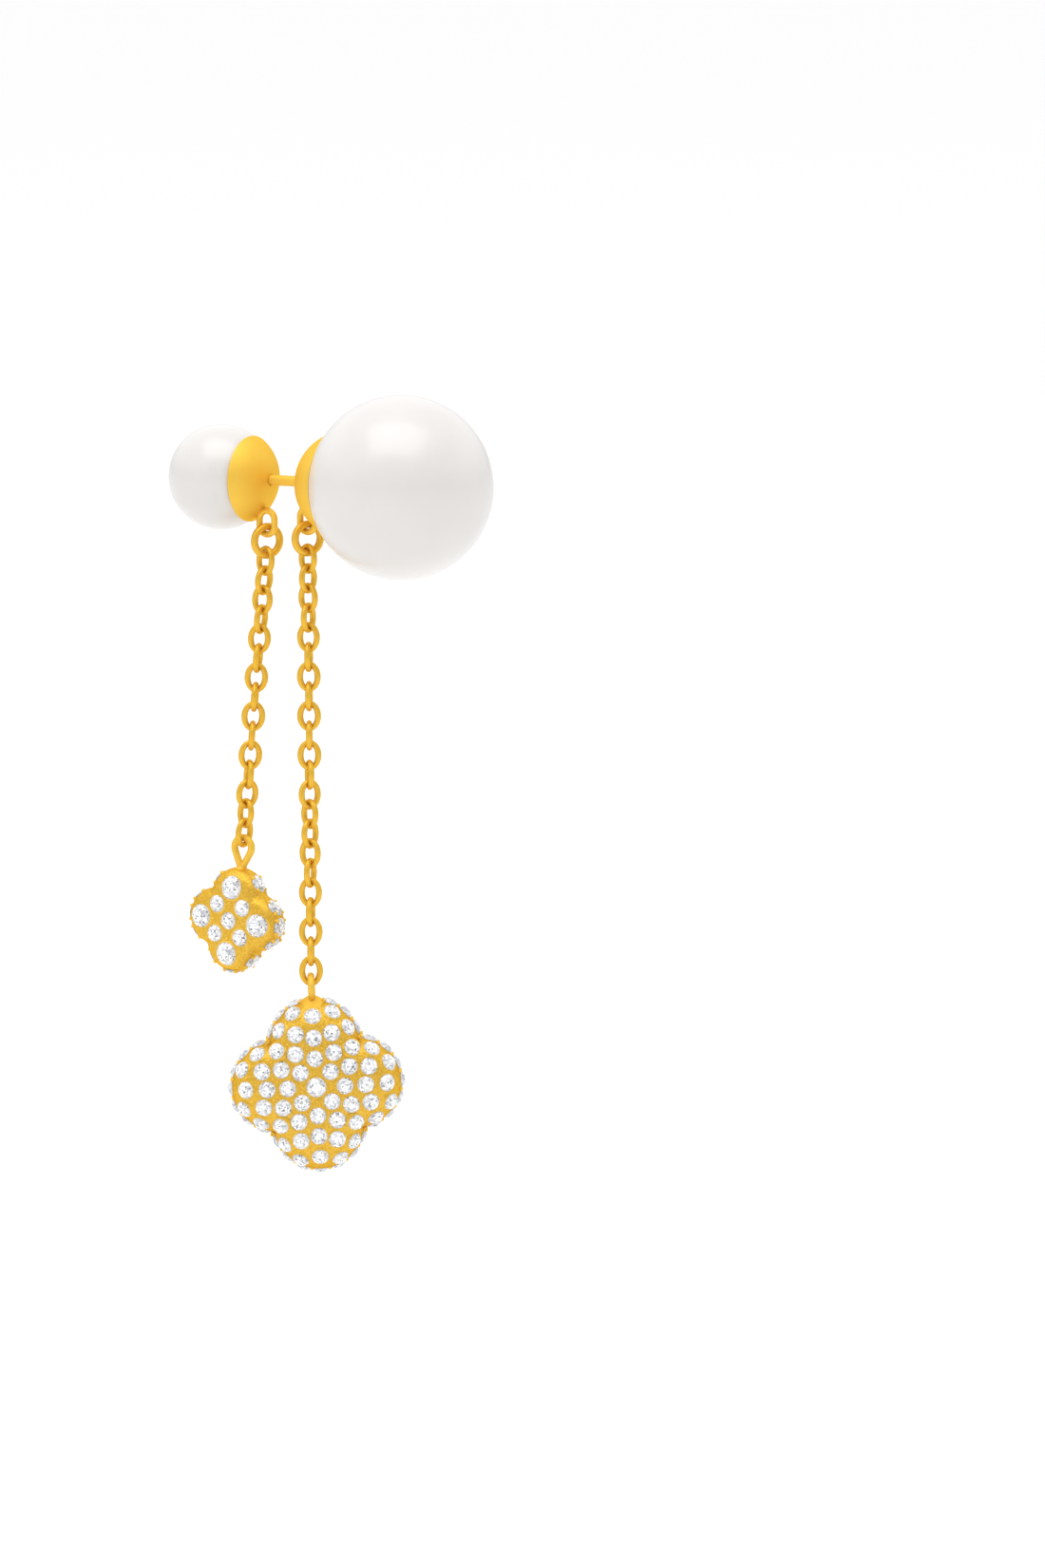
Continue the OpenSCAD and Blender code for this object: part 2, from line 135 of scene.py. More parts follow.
class MeshPiece:
    """Points and faces of one piece while it is being made, in millimetres."""

    def __init__(self) -> None:
        """Starts an empty piece."""
        self.points: list[Vector] = []
        self.faces: list[tuple[int, ...]] = []
        self.finishes: list[int] = []

    def add(self, points: list[Vector], faces: list[tuple[int, ...]], finish: int = 0) -> None:
        """Adds a shell.

        Args:
            points: Its points.
            faces: Its faces, by place in points.
            finish: Place of its material among the piece's materials.
        """
        start = len(self.points)
        self.points += [Vector(p) for p in points]
        self.faces += [tuple(start + v for v in f) for f in faces]
        self.finishes += [finish] * len(faces)

    def lathe(self, outline: list[Point], place: Matrix, sides: int, closed: bool, finish: int = 0) -> None:
        """Adds a solid of revolution.

        Args:
            outline: Points as distance from the axis and height along it. Points on the axis close it.
            place: Where the axis, the local Z, goes.
            sides: Number of sides.
            closed: Whether the outline closes on itself, as a ring's does.
            finish: Place of its material.
        """
        points, rows = [], []
        for radius, height in outline:
            if radius < 1e-6:
                rows.append([len(points)] * sides)
                points.append(place @ Vector((0, 0, height)))
                continue
            rows.append([len(points) + j for j in range(sides)])
            for j in range(sides):
                t = math.tau * j / sides
                points.append(place @ Vector((radius * math.cos(t), radius * math.sin(t), height)))
        faces = []
        for i in range(len(rows) if closed else len(rows) - 1):
            low, high = rows[i], rows[(i + 1) % len(rows)]
            for j in range(sides):
                k = (j + 1) % sides
                corners = list(dict.fromkeys((low[j], low[k], high[k], high[j])))
                if len(corners) > 2:
                    faces.append(tuple(corners))
        self.add(points, faces, finish)

    def wire(self, path: list[Vector], normal: Vector, thickness: float, sides: int, finish: int = 0) -> None:
        """Adds a wire bent to a closed ring.

        Args:
            path: Points of its middle line, in a flat plane.
            normal: Direction across that plane.
            thickness: Diameter of the wire.
            sides: Number of sides of the wire.
            finish: Place of its material.
        """
        count, points = len(path), []
        for i, here in enumerate(path):
            before = (here - path[i - 1]).normalized()
            after = (path[(i + 1) % count] - here).normalized()
            along = (before + after).normalized()
            out = along.cross(normal).normalized()
            stretch = thickness / 2 / max(0.5, along.dot(after))
            for j in range(sides):
                t = math.tau * (j + 0.5) / sides
                across = normal * (thickness / 2 * math.sin(t))
                points.append(here + out * (stretch * math.cos(t)) + across)
        faces = []
        for i in range(count):
            for j in range(sides):
                a, b = i * sides + j, i * sides + (j + 1) % sides
                c, d = (i + 1) % count * sides + (j + 1) % sides, (i + 1) % count * sides + j
                faces.append((a, b, c, d))
        self.add(points, faces, finish)

    def build(self, name: str, materials: list[bpy.types.Material], shading: Shading) -> bpy.types.Object:
        """Makes the object, in metres.

        Args:
            name: Its name.
            materials: Its materials.
            shading: How its faces are shaded.

        Returns:
            The object, with its place in its mesh.
        """
        mesh = bpy.data.meshes.new(name)
        mesh.from_pydata([p * MM for p in self.points], [], self.faces)
        for material in materials:
            mesh.materials.append(material)
        mesh.polygons.foreach_set("material_index", self.finishes)
        return placed(name, mesh, shading)

    def item(self, name: str, shading: Shading) -> bpy.types.Object:
        """Makes an item of diameter 1, with no material, that is set in many places.

        Args:
            name: Its name.
            shading: How its faces are shaded.

        Returns:
            The item.
        """
        item = self.build(name, [], shading)
        for vertex in item.data.vertices:
            vertex.co /= MM
        return item


def ring_path(middle: Vector, first: Vector, second: Vector, bend: float, steps: int) -> list[Vector]:
    """Points of a circle of radius bend round a middle, through two directions."""
    turns = [math.tau * i / steps for i in range(steps)]
    return [middle + (first * math.cos(t) + second * math.sin(t)) * bend for t in turns]


def in_scene(name: str, data: bpy.types.ID) -> bpy.types.Object:
    """Makes an object of the scene.

    Args:
        name: Its name.
        data: What it holds.

    Returns:
        The object.
    """
    made = bpy.data.objects.new(name, data)
    bpy.context.scene.collection.objects.link(made)
    return made


def placed(name: str, mesh: bpy.types.Mesh, shading: Shading) -> bpy.types.Object:
    """Turns a mesh's faces outwards and puts it in the scene.

    Args:
        name: Name of the object.
        mesh: Its mesh.
        shading: How its faces are shaded.

    Returns:
        The object.
    """
    work = bmesh.new()
    work.from_mesh(mesh)
    bmesh.ops.recalc_face_normals(work, faces=work.faces)
    work.to_mesh(mesh)
    work.free()
    mesh.polygons.foreach_set("use_smooth", [shading is Shading.SMOOTH] * len(mesh.polygons))
    mesh.update()
    return in_scene(name, mesh)


def settle(piece: bpy.types.Object, body: Body, slot: Slot, *nodes: str) -> None:
    """Ties a finished piece to its body and hides the nodes that it stands for.

    Args:
        piece: The finished piece.
        body: The body that it rides on.
        slot: The record's material slot. It is not used.
        nodes: Names of the nodes that it replaces.
    """
    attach(piece, body.value)
    if nodes:
        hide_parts(*nodes)
    LOG.info("%s rides on %s, %d faces", piece.name, body.value, len(piece.data.polygons))


def solids_of(node: str) -> list[np.ndarray]:
    """Points of each loose solid of a node of the frame.

    Args:
        node: Name of the node.

    Returns:
        One array of points for each solid, in millimetres, in the order in which they are stored.
    """
    mesh = frame["nodes"][node].data
    raw = np.array([v.co for v in mesh.vertices], float) / MM
    points, index = np.unique(np.round(raw, 3), axis=0, return_inverse=True)
    index = np.ravel(index)
    owner = list(range(len(points)))

    def root(i: int) -> int:
        """The first point of a solid.

        Args:
            i: Any of its points.

        Returns:
            Place of the first one.
        """
        while owner[i] != i:
            owner[i] = owner[owner[i]]
            i = owner[i]
        return i

    for edge in mesh.edges:
        a, b = root(index[edge.vertices[0]]), root(index[edge.vertices[1]])
        owner[max(a, b)] = min(a, b)
    groups: dict[int, list[int]] = {}
    for i in range(len(points)):
        groups.setdefault(root(i), []).append(i)
    return [points[members] for members in groups.values()]


def attitude(across: Vector, up: Vector, facing: Vector) -> Vector:
    """Euler angles of a set of three axes.

    Args:
        across: Where the local X goes.
        up: Where the local Y goes.
        facing: Where the local Z goes.

    Returns:
        The angles.
    """
    return Vector(Matrix((across, up, facing)).transposed().to_euler())


@dataclass(frozen=True)
class Axes:
    """Middle and main axes of a solid, from the spread of its points."""

    middle: Vector
    longest: Vector
    second: Vector
    shortest: Vector

    @classmethod
    def of(cls, points: np.ndarray) -> "Axes":
        """Main axes of a cloud of points.

        Args:
            points: The points.

        Returns:
            The axes, as a right-handed set.
        """
        middle = (points.min(0) + points.max(0)) / 2
        rows = np.linalg.svd(points - points.mean(0), full_matrices=False)[2]
        longest, second = Vector(rows[0]), Vector(rows[1])
        return cls(Vector(middle), longest, second, longest.cross(second))


@dataclass(frozen=True)
class Seat:
    """Place, direction and diameter of a stone, at its girdle."""

    centre: Vector
    facing: Vector
    diameter: float

    @classmethod
    def of(cls, points: np.ndarray) -> "Seat":
        """Seat of a cut stone of the frame.

        Args:
            points: The stone's points: those of its girdle and those of its table.

        Returns:
            The seat.
        """
        mean = points.mean(0)
        normal = np.linalg.svd(points - mean)[2][2]
        height = (points - mean) @ normal
        spread = np.linalg.norm(points - mean - np.outer(height, normal), axis=1)
        girdle = spread > spread.mean()
        centre = points[girdle].mean(0)
        facing = points[~girdle].mean(0) - centre
        reach = np.linalg.norm(points[girdle] - centre, axis=1).max()
        return cls(Vector(centre), Vector(facing).normalized(), float(2 * reach))

    def axes(self, spin: float = 0.0) -> tuple[Vector, Vector, Vector]:
        """Axes of the seat.

        Args:
            spin: Turn about its own direction, in radians.

        Returns:
            Two directions across the seat, and its own.
        """
        side = self.facing.orthogonal().normalized()
        other = self.facing.cross(side)
        across = side * math.cos(spin) + other * math.sin(spin)
        return across, self.facing.cross(across), self.facing


def seats_of(*nodes: str) -> list[Seat]:
    """Seats of all the stones in some nodes of the frame."""
    return [Seat.of(points) for node in nodes for points in solids_of(node)]


class NodeGraph:
    """Shorthand for a tree of nodes, made in the order in which the nodes are added."""

    def __init__(self, tree: bpy.types.NodeTree) -> None:
        """Keeps the tree that nodes are added to."""
        self.tree = tree

    def feed(self, node: bpy.types.Node, inputs: dict[str | int, object]) -> None:
        """Gives values or sockets to a node's inputs.

        Args:
            node: The node.
            inputs: Values or sockets, by the input's name or place.
        """
        for key, value in inputs.items():
            if isinstance(value, bpy.types.NodeSocket):
                self.tree.links.new(value, node.inputs[key])
            else:
                node.inputs[key].default_value = value

    def add(self, kind: str, inputs: dict[str | int, object] | None = None,
            **settings: object) -> bpy.types.Node:
        """Adds a node.

        Args:
            kind: Its type.
            inputs: Values or sockets for its inputs, by name or place.
            settings: Its own properties.

        Returns:
            The node.
        """
        node = self.tree.nodes.new(kind)
        for key, value in settings.items():
            setattr(node, key, value)
        self.feed(node, inputs or {})
        return node

    def math(self, operation: str, *values: object) -> bpy.types.NodeSocket:
        """The result of one step of arithmetic on some values or sockets."""
        return self.add("ShaderNodeMath", dict(enumerate(values)), operation=operation).outputs[0]


class GeometryTree(NodeGraph):
    """A Geometry Nodes tree with named inputs, ended by Realize Instances and Set Material."""

    def __init__(self, name: str, sizes: dict[str, str]) -> None:
        """Makes the tree and its inputs.

        Args:
            name: Name of the tree.
            sizes: Type of each input, by its name.
        """
        super().__init__(bpy.data.node_groups.new(name, "GeometryNodeTree"))
        face = self.tree.interface
        face.new_socket("Geometry", in_out="OUTPUT", socket_type="NodeSocketGeometry")
        face.new_socket("Geometry", in_out="INPUT", socket_type="NodeSocketGeometry")
        self.names: dict[str, str] = {}
        for label, kind in {**sizes, "Material": "NodeSocketMaterial"}.items():
            socket = face.new_socket(label, in_out="INPUT", socket_type=kind)
            self.names[label] = socket.identifier
        self.inlet = self.add("NodeGroupInput").outputs

    def attribute(self, name: str, kind: str) -> bpy.types.NodeSocket:
        """The value of a named attribute of the points."""
        return self.add("GeometryNodeInputNamedAttribute", {"Name": name}, data_type=kind).outputs[0]

    def finish(self, instances: bpy.types.NodeSocket) -> None:
        """Ends the tree.

        Args:
            instances: The instances that it makes.
        """
        real = self.add("GeometryNodeRealizeInstances", {"Geometry": instances})
        dressed = self.add("GeometryNodeSetMaterial",
                           {"Geometry": real.outputs[0], "Material": self.inlet["Material"]})
        self.add("NodeGroupOutput", {"Geometry": dressed.outputs[0]})

    def run(self, name: str, cloud: bpy.types.Object, values: dict[str, object],
            shading: Shading) -> bpy.types.Object:
        """Runs the tree on a cloud of points and keeps the result as a plain mesh.

        Args:
            name: Name of the piece.
            cloud: The points, with their attributes. It is used up.
            values: Values of the inputs, by name.
            shading: How the faces are shaded.

        Returns:
            The piece.
        """
        modifier = cloud.modifiers.new("nodes", "NODES")
        modifier.node_group = self.tree
        for label, value in values.items():
            modifier[self.names[label]] = value
        bpy.context.view_layer.update()
        evaluated = cloud.evaluated_get(bpy.context.evaluated_depsgraph_get())
        mesh = bpy.data.meshes.new_from_object(evaluated)
        cloud.modifiers.remove(modifier)
        bpy.data.objects.remove(cloud)
        mesh.name = name
        return placed(name, mesh, shading)


def point_cloud(places: list[Vector], turns: list[Vector], sizes: list[float]) -> bpy.types.Object:
    """Points that a Geometry Nodes tree puts things on.

    Args:
        places: The places, in millimetres.
        turns: Euler angles of each thing.
        sizes: Scale of each thing.

    Returns:
        The object that holds the points.
    """
    mesh = bpy.data.meshes.new("places")
    mesh.from_pydata([p * MM for p in places], [], [])
    turn = mesh.attributes.new("turn", "FLOAT_VECTOR", "POINT")
    turn.data.foreach_set("vector", [x for t in turns for x in t])
    size = mesh.attributes.new("size", "FLOAT", "POINT")
    size.data.foreach_set("value", sizes)
    return in_scene("places", mesh)


class Finish:
    """A material made of nodes, with a pattern on Object coordinates."""

    def start(self, name: str) -> tuple[bpy.types.Material, NodeGraph, bpy.types.Node]:
        """Makes an empty material.

        Args:
            name: Its name.

        Returns:
            The material, its graph and its shader node.
        """
        material = bpy.data.materials.new(name)
        material.use_nodes = True
        graph = NodeGraph(material.node_tree)
        return material, graph, material.node_tree.nodes["Principled BSDF"]

    def noise(self, graph: NodeGraph, size: float, detail: float) -> bpy.types.NodeSocket:
        """A noise whose lumps have the given size in millimetres."""
        place = graph.add("ShaderNodeTexCoord").outputs["Object"]
        return graph.add("ShaderNodeTexNoise",
                         {"Vector": place, "Scale": 1 / (size * MM), "Detail": detail}).outputs["Fac"]

    def bump(self, graph: NodeGraph, height: bpy.types.NodeSocket, depth: float) -> bpy.types.NodeSocket:
        """A normal bent by bumps of the given depth in millimetres."""
        return graph.add("ShaderNodeBump",
                         {"Height": height, "Distance": depth * MM, "Strength": 1.0}).outputs[0]

    def ramp(self, graph: NodeGraph, value: bpy.types.NodeSocket,
             stops: list[tuple[float, tuple[float, float, float]]]) -> bpy.types.NodeSocket:
        """A colour that follows a value.

        Args:
            graph: The graph.
            value: The value.
            stops: Values and their colours.

        Returns:
            The colour.
        """
        node = graph.add("ShaderNodeValToRGB", {"Fac": value})
        marks = node.color_ramp.elements
        while len(marks) < len(stops):
            marks.new(1.0)
        for mark, (at, colour) in zip(marks, stops):
            mark.position = at
            mark.color = (*colour, 1)
        return node.outputs["Color"]


@dataclass(frozen=True)
class GoldFinish(Finish):
    """Yellow gold plate, from a soft polish to the grain of bright-cut metal."""

    name: str
    light: tuple[float, float, float] = (0.87, 0.58, 0.095)
    deep: tuple[float, float, float] = (0.83, 0.545, 0.08)
    edge: tuple[float, float, float] = (0.90, 0.60, 0.13)
    metallic: float = 0.8
    roughness: float = 0.38
    roughness_play: float = 0.12
    grain_size: float = 0.5
    grain_height: float = 0.004

    def material(self) -> bpy.types.Material:
        """The material."""
        material, graph, shader = self.start(self.name)
        tone = self.noise(graph, self.grain_size, 4)
        rough = self.roughness - self.roughness_play / 2
        graph.feed(shader, {
            "Base Color": self.ramp(graph, tone, [(0.3, self.deep), (0.7, self.light)]),
            "Roughness": graph.math("MULTIPLY_ADD", tone, self.roughness_play, rough),
            "Normal": self.bump(graph, tone, self.grain_height),
            "Metallic": self.metallic,
            "Specular Tint": (*self.edge, 1)})
        return material


@dataclass(frozen=True)
class NacreFinish(Finish):
    """White pearl: a pale body under a soft, glossy skin."""

    name: str
    light: tuple[float, float, float] = (0.675, 0.653, 0.635)
    deep: tuple[float, float, float] = (0.645, 0.623, 0.605)
    cloud_size: float = 5.0
    skin_size: float = 0.35
    skin_height: float = 0.0015
    roughness: float = 0.35
    roughness_play: float = 0.06
    index: float = 1.8
    coat: float = 0.5
    coat_roughness: float = 0.18

    def material(self) -> bpy.types.Material:
        """The material."""
        material, graph, shader = self.start(self.name)
        cloud = self.noise(graph, self.cloud_size, 2)
        skin = self.noise(graph, self.skin_size, 3)
        graph.feed(shader, {
            "Base Color": self.ramp(graph, cloud, [(0.3, self.deep), (0.7, self.light)]),
            "Roughness": graph.math("MULTIPLY_ADD", skin, self.roughness_play, self.roughness),
            "Normal": self.bump(graph, skin, self.skin_height),
            "IOR": self.index,
            "Coat Weight": self.coat,
            "Coat Roughness": self.coat_roughness})
        return material


@dataclass(frozen=True)
class CrystalFinish(Finish):
    """Foil-backed white crystal: bright, with painted grey splinters and a painted dark rim in its colour,
    standing in for reflections of dark surroundings.
    """

    name: str
    # Size of the painted splinters of reflection, in millimetres.
    painted_splinter: float = 0.13
    # Colour of the painted dark reflection on the rim and the outer facets.
    rim: tuple[float, float, float] = (0.27, 0.30, 0.35)
    roughness: float = 0.12
    index: float = 1.75
    coat: float = 0.6
    coat_roughness: float = 0.04

    def material(self) -> bpy.types.Material:
        """The material."""
        material, graph, shader = self.start(self.name)
        place = graph.add("ShaderNodeTexCoord").outputs["Object"]
        # Random grey cells painted into the colour: painted splinters of reflection, from near black to
        # white.
        cells = graph.add("ShaderNodeTexVoronoi", {"Vector": place, "Scale": 1 / (self.painted_splinter * MM),
                                                   "Randomness": 1.0}).outputs["Color"]
        lone = graph.add("ShaderNodeSeparateColor", {0: cells}).outputs[0]
        painted_reflection = self.ramp(graph, lone, [(0.0, (0.13, 0.14, 0.16)), (0.06, (0.26, 0.27, 0.30)),
                                         (0.15, (0.54, 0.55, 0.57)), (0.32, (0.75, 0.76, 0.78)),
                                         (0.54, (1.0, 1.0, 1.0))])
        # Mixes the colour towards the dark rim colour by each facet's painted grey: a painted dark reflection
        # on the rim and outer facets.
        edge = graph.add("ShaderNodeAttribute", attribute_name="grey").outputs["Fac"]
        mixed = graph.add("ShaderNodeMix", {"Factor": edge, 6: painted_reflection, 7: (*self.rim, 1)}, data_type="RGBA")
        graph.feed(shader, {"Base Color": mixed.outputs[2], "Roughness": self.roughness,
                            "IOR": self.index, "Coat Weight": self.coat,
                            "Coat Roughness": self.coat_roughness})
        return material


@dataclass(frozen=True)
class Finishes:
    """The materials of the earring."""

    polished: bpy.types.Material
    wire: bpy.types.Material
    granular: bpy.types.Material
    nacre: bpy.types.Material
    crystal: bpy.types.Material

    @classmethod
    def make(cls) -> "Finishes":
        """Makes them all."""
        return cls(
            polished=GoldFinish("polished_gold", roughness=0.6, grain_size=2.5, grain_height=0.0).material(),
            wire=GoldFinish("wire_gold", light=(0.79, 0.485, 0.065), deep=(0.75, 0.45, 0.05),
                            edge=(0.82, 0.53, 0.09), roughness=0.46, grain_size=0.6,
                            grain_height=0.002).material(),
            granular=GoldFinish("granular_gold", light=(0.84, 0.53, 0.08), deep=(0.61, 0.35, 0.03),
                                roughness=0.42, grain_size=0.16, grain_height=0.04).material(),
            nacre=NacreFinish("nacre").material(),
            crystal=CrystalFinish("crystal").material(),
        )


@dataclass
class Post:
    """The ear post and what slides on it: places along Y, from the middle of the ear lobe."""

    diameter: float = 0.8
    bare: float = 2.9
    tail: float = 5.4
    groove_depth: float = 0.12
    groove_width: float = 0.5
    groove_inset: float = -0.12
    tip_round: float = 0.22
    slide_gap: float = 0.02
    glue_gap: float = 0.005
    sides: int = 64

    @property
    def end(self) -> float:
        """Place of the free end."""
        return self.bare / 2 + self.tail


@dataclass
class WireLoop:
    """Oval loop of round wire under a cup, upright in the plane of the post."""

    wire: float = 0.5
    width: float = 1.85
    height: float = 2.3
    steps: int = 24
    sides: int = 20

    def reach(self, angle: float) -> float:
        """Distance from the loop's middle to its outline.

        Args:
            angle: Direction below the post, in radians.

        Returns:
            The distance.
        """
        leg, end = self.height - self.width, self.width / 2
        lift = math.sin(angle) * leg / 2
        return lift + math.sqrt(end * end - leg * leg / 4 + lift * lift)

    def add_to(self, piece: MeshPiece, middle: Vector) -> None:
        """Adds the loop to a piece.

        Args:
            piece: The piece.
            middle: Place of the loop's middle.
        """
        leg, bend = (self.height - self.width) / 2, (self.width - self.wire) / 2
        flat = arc((0, leg), bend, 0, 180, self.steps) + arc((0, -leg), bend, 180, 360, self.steps)
        path = [middle + Vector((0, y, z)) for y, z in flat]
        piece.wire(path, Vector((1, 0, 0)), self.wire, self.sides)


@dataclass
class Cup:
    """Round-backed metal cup, hollowed for its pearl."""

    radius: float
    rim_radius: float
    crown: float
    pearl: float
    rim_round: float = 0.05
    back_inset: float = 2.0
    hollow_inset: float = 0.02
    steps: int = 40

    def back(self, from_radius: float) -> list[Point]:
        """The round back, up to near the rim.

        Args:
            from_radius: Radius near the axis at which it starts.

        Returns:
            Its points, by radius and height.
        """
        first = math.degrees(math.asin(from_radius / self.radius))
        last = math.degrees(math.asin(self.rim_radius / self.radius)) - self.back_inset
        return [(self.radius * math.sin(math.radians(a)), self.radius * (1 - math.cos(math.radians(a))))
                for a in np.linspace(first, last, self.steps)]

    def hollow(self, to_radius: float, gap: float) -> list[Point]:
        """The hollow, from near the rim inwards.

        Args:
            to_radius: Radius near the axis at which it ends.
            gap: Thickness of the glue.

        Returns:
            Its points, by radius and height.
        """
        middle, reach = self.crown + self.pearl / 2, self.pearl / 2 + gap
        first = math.asin(self.mouth(gap) / reach) - self.hollow_inset
        return [(reach * math.sin(a), middle - reach * math.cos(a))
                for a in np.linspace(first, math.asin(to_radius / reach), self.steps // 2)]

    def rim_height(self) -> float:
        """Height of the rim over the top of the round back."""
        return self.radius - math.sqrt(self.radius ** 2 - self.rim_radius ** 2)

    def mouth(self, gap: float) -> float:
        """Radius of the hollow at the rim."""
        depth = self.crown + self.pearl / 2 - self.rim_height()
        return math.sqrt((self.pearl / 2 + gap) ** 2 - depth ** 2)

    def rim(self, gap: float) -> list[Point]:
        """The rounded rim, from the back to the hollow.

        Args:
            gap: Thickness of the glue.

        Returns:
            Its points, by radius and height.
        """
        height = self.rim_height()
        outer, inner = (self.rim_radius, height), (self.mouth(gap), height)
        return (fillet(self.back(0.0)[-1], outer, inner, self.rim_round)
                + fillet(outer, inner, self.hollow(0.0, gap)[0], self.rim_round / 2))


@dataclass
class JumpRing:
    """Round ring of round wire."""

    wire: float = 0.56
    diameter: float = 2.74
    steps: int = 64
    sides: int = 20

    def make(self, name: str, node: str, body: Body, finishes: Finishes) -> None:
        """Makes the ring where the frame has it.

        Args:
            name: Name of the piece.
            node: The node that it replaces.
            body: The body that it rides on.
            finishes: The materials.
        """
        axes = Axes.of(solids_of(node)[0])
        bend = (self.diameter - self.wire) / 2
        path = ring_path(axes.middle, axes.longest, axes.second, bend, self.steps)
        piece = MeshPiece()
        piece.wire(path, axes.shortest, self.wire, self.sides)
        settle(piece.build(name, [finishes.wire], Shading.SMOOTH), body, Slot.GOLD, node)


@dataclass
class PearlHead:
    """A pearl, with its drilled hole."""

    diameter: float
    centre: float
    drill: float
    drill_depth: float
    drill_side: int
    pole: float = 1.5
    steps: int = 96
    sides: int = 128

    def make(self, name: str, node: str, body: Body, finishes: Finishes) -> None:
        """Makes the pearl.

        Args:
            name: Name of the piece.
            node: The node that it replaces.
            body: The body that it rides on.
            finishes: The materials.
        """
        radius, bore = self.diameter / 2, self.drill / 2
        mouth = math.degrees(math.asin(bore / radius))
        outline = [(0.0, -radius)]
        outline += arc((0, 0), radius, self.pole - 90, 90 - mouth, self.steps)
        outline += [(bore, radius - self.drill_depth), (0.0, radius - self.drill_depth)]
        place = Matrix.Translation((0, self.centre, 0)) @ Matrix.Rotation(
            math.radians(-90 * self.drill_side), 4, "X")
        piece = MeshPiece()
        piece.lathe(outline, place, self.sides, False)
        settle(piece.build(name, [finishes.nacre], Shading.SMOOTH), body, Slot.PEARL, node)


@dataclass
class PearlSide(ABC):
    """What both sides of the ear lobe share: a pearl in a cup on the post, a loop and a jump ring."""

    post: Post
    loop: WireLoop
    ring: JumpRing
    body: Body
    behind: int
    metal: str
    closed: bool
    pearl: float
    cup: Cup
    loop_angle: float
    loop_sink: float

    @abstractmethod
    def drill(self) -> tuple[float, float]:
        """Diameter and depth of the pearl's hole."""

    @abstractmethod
    def outline(self) -> list[Point]:
        """Outline of the turned metal, by distance from the axis and along it."""

    def distance(self) -> float:
        """Distance of the pearl's middle from the middle of the ear lobe."""
        return self.post.bare / 2 + self.cup.crown + self.pearl / 2

    def shell(self, from_radius: float, to_radius: float) -> list[Point]:
        """The cup's back, rim and hollow.

        Args:
            from_radius: Radius at which the back starts.
            to_radius: Radius at which the hollow ends.

        Returns:
            Distances from the axis and from the ear lobe's middle.
        """
        gap = self.post.glue_gap
        points = self.cup.back(from_radius) + self.cup.rim(gap) + self.cup.hollow(to_radius, gap)
        return [(radius, self.post.bare / 2 + height) for radius, height in points]

    def loop_place(self) -> Vector:
        """Middle of the loop under the cup."""
        angle = math.radians(self.loop_angle)
        out = self.cup.radius + self.loop.reach(angle) - self.loop_sink
        along = self.post.bare / 2 + self.cup.radius - out * math.cos(angle)
        return Vector((0, self.behind * along, -out * math.sin(angle)))

    def make(self, finishes: Finishes) -> None:
        """Makes the pearl, the jump ring and the soldered metal.

        Args:
            finishes: The materials.
        """
        side = self.body.value
        PearlHead(self.pearl, self.behind * self.distance(), *self.drill(), -self.behind).make(
            f"{side}_pearl_nacre", f"{side}_pearl", self.body, finishes)
        self.ring.make(f"{side}_jump_ring", f"{side}_ring", self.body, finishes)
        piece = MeshPiece()
        axis = Matrix.Rotation(math.radians(-90 * self.behind), 4, "X")
        piece.lathe(self.outline(), axis, self.post.sides, self.closed)
        self.loop.add_to(piece, self.loop_place())
        settle(piece.build(self.metal, [finishes.polished], Shading.SMOOTH),
               self.body, Slot.GOLD, f"{side}_setting")


@dataclass
class PearlStud(PearlSide):
    """The front of the earring: large pearl, cup, peg, post, loop and jump ring."""

    body: Body = Body.FRONT
    behind: int = -1
    metal: str = "front_cup_and_post"
    closed: bool = False
    pearl: float = 14.0
    cup: Cup = field(default_factory=lambda: Cup(4.1, 3.96, 1.85, 14.0, rim_round=0.02))
    loop_angle: float = 38.0
    loop_sink: float = 0.45
    peg: float = 1.0
    peg_length: float = 3.0
    peg_bevel: float = 0.1
    solder: float = 0.25

    def drill(self) -> tuple[float, float]:
        """Diameter and depth of the pearl's hole."""
        return self.peg + 2 * self.post.glue_gap, self.peg_length + 2 * self.post.glue_gap

    def outline(self) -> list[Point]:
        """Outline of post, cup and peg.

        Returns:
            Distances from the axis and -Y, from the post's free end to the end of the peg.
        """
        post, radius, top = self.post, self.post.diameter / 2, self.post.bare / 2
        end, tip = -post.end, post.tip_round
        groove = -(top - post.groove_inset)
        points = [(0.0, end)]
        points += arc((radius - tip, end + tip), tip, -90, 0, 6)
        points += self.band(radius, radius - post.groove_depth, groove - post.groove_width, groove)
        points += fillet((radius, top - 1), (radius, top + 0.02), (radius + 1, top + 0.06), self.solder)
        points += self.shell(radius + 2 * self.solder, self.peg / 2)
        foot, flat = top + self.cup.crown + self.peg_length, self.peg / 2 - self.peg_bevel
        return points + [(self.peg / 2, foot - self.peg_bevel), (flat, foot), (0.0, foot)]

    def band(self, outer: float, inner: float, low: float, high: float) -> list[Point]:
        """A shallow groove turned in the post, with soft edges.

        Args:
            outer: Radius of the post.
            inner: Radius in the groove.
            low: Where it starts.
            high: Where it ends.

        Returns:
            Its points.
        """
        soft = (outer - inner) / 4
        return [(outer, low - soft), (outer, low), (inner, low + soft),
                (inner, high - soft), (outer, high), (outer, high + soft)]


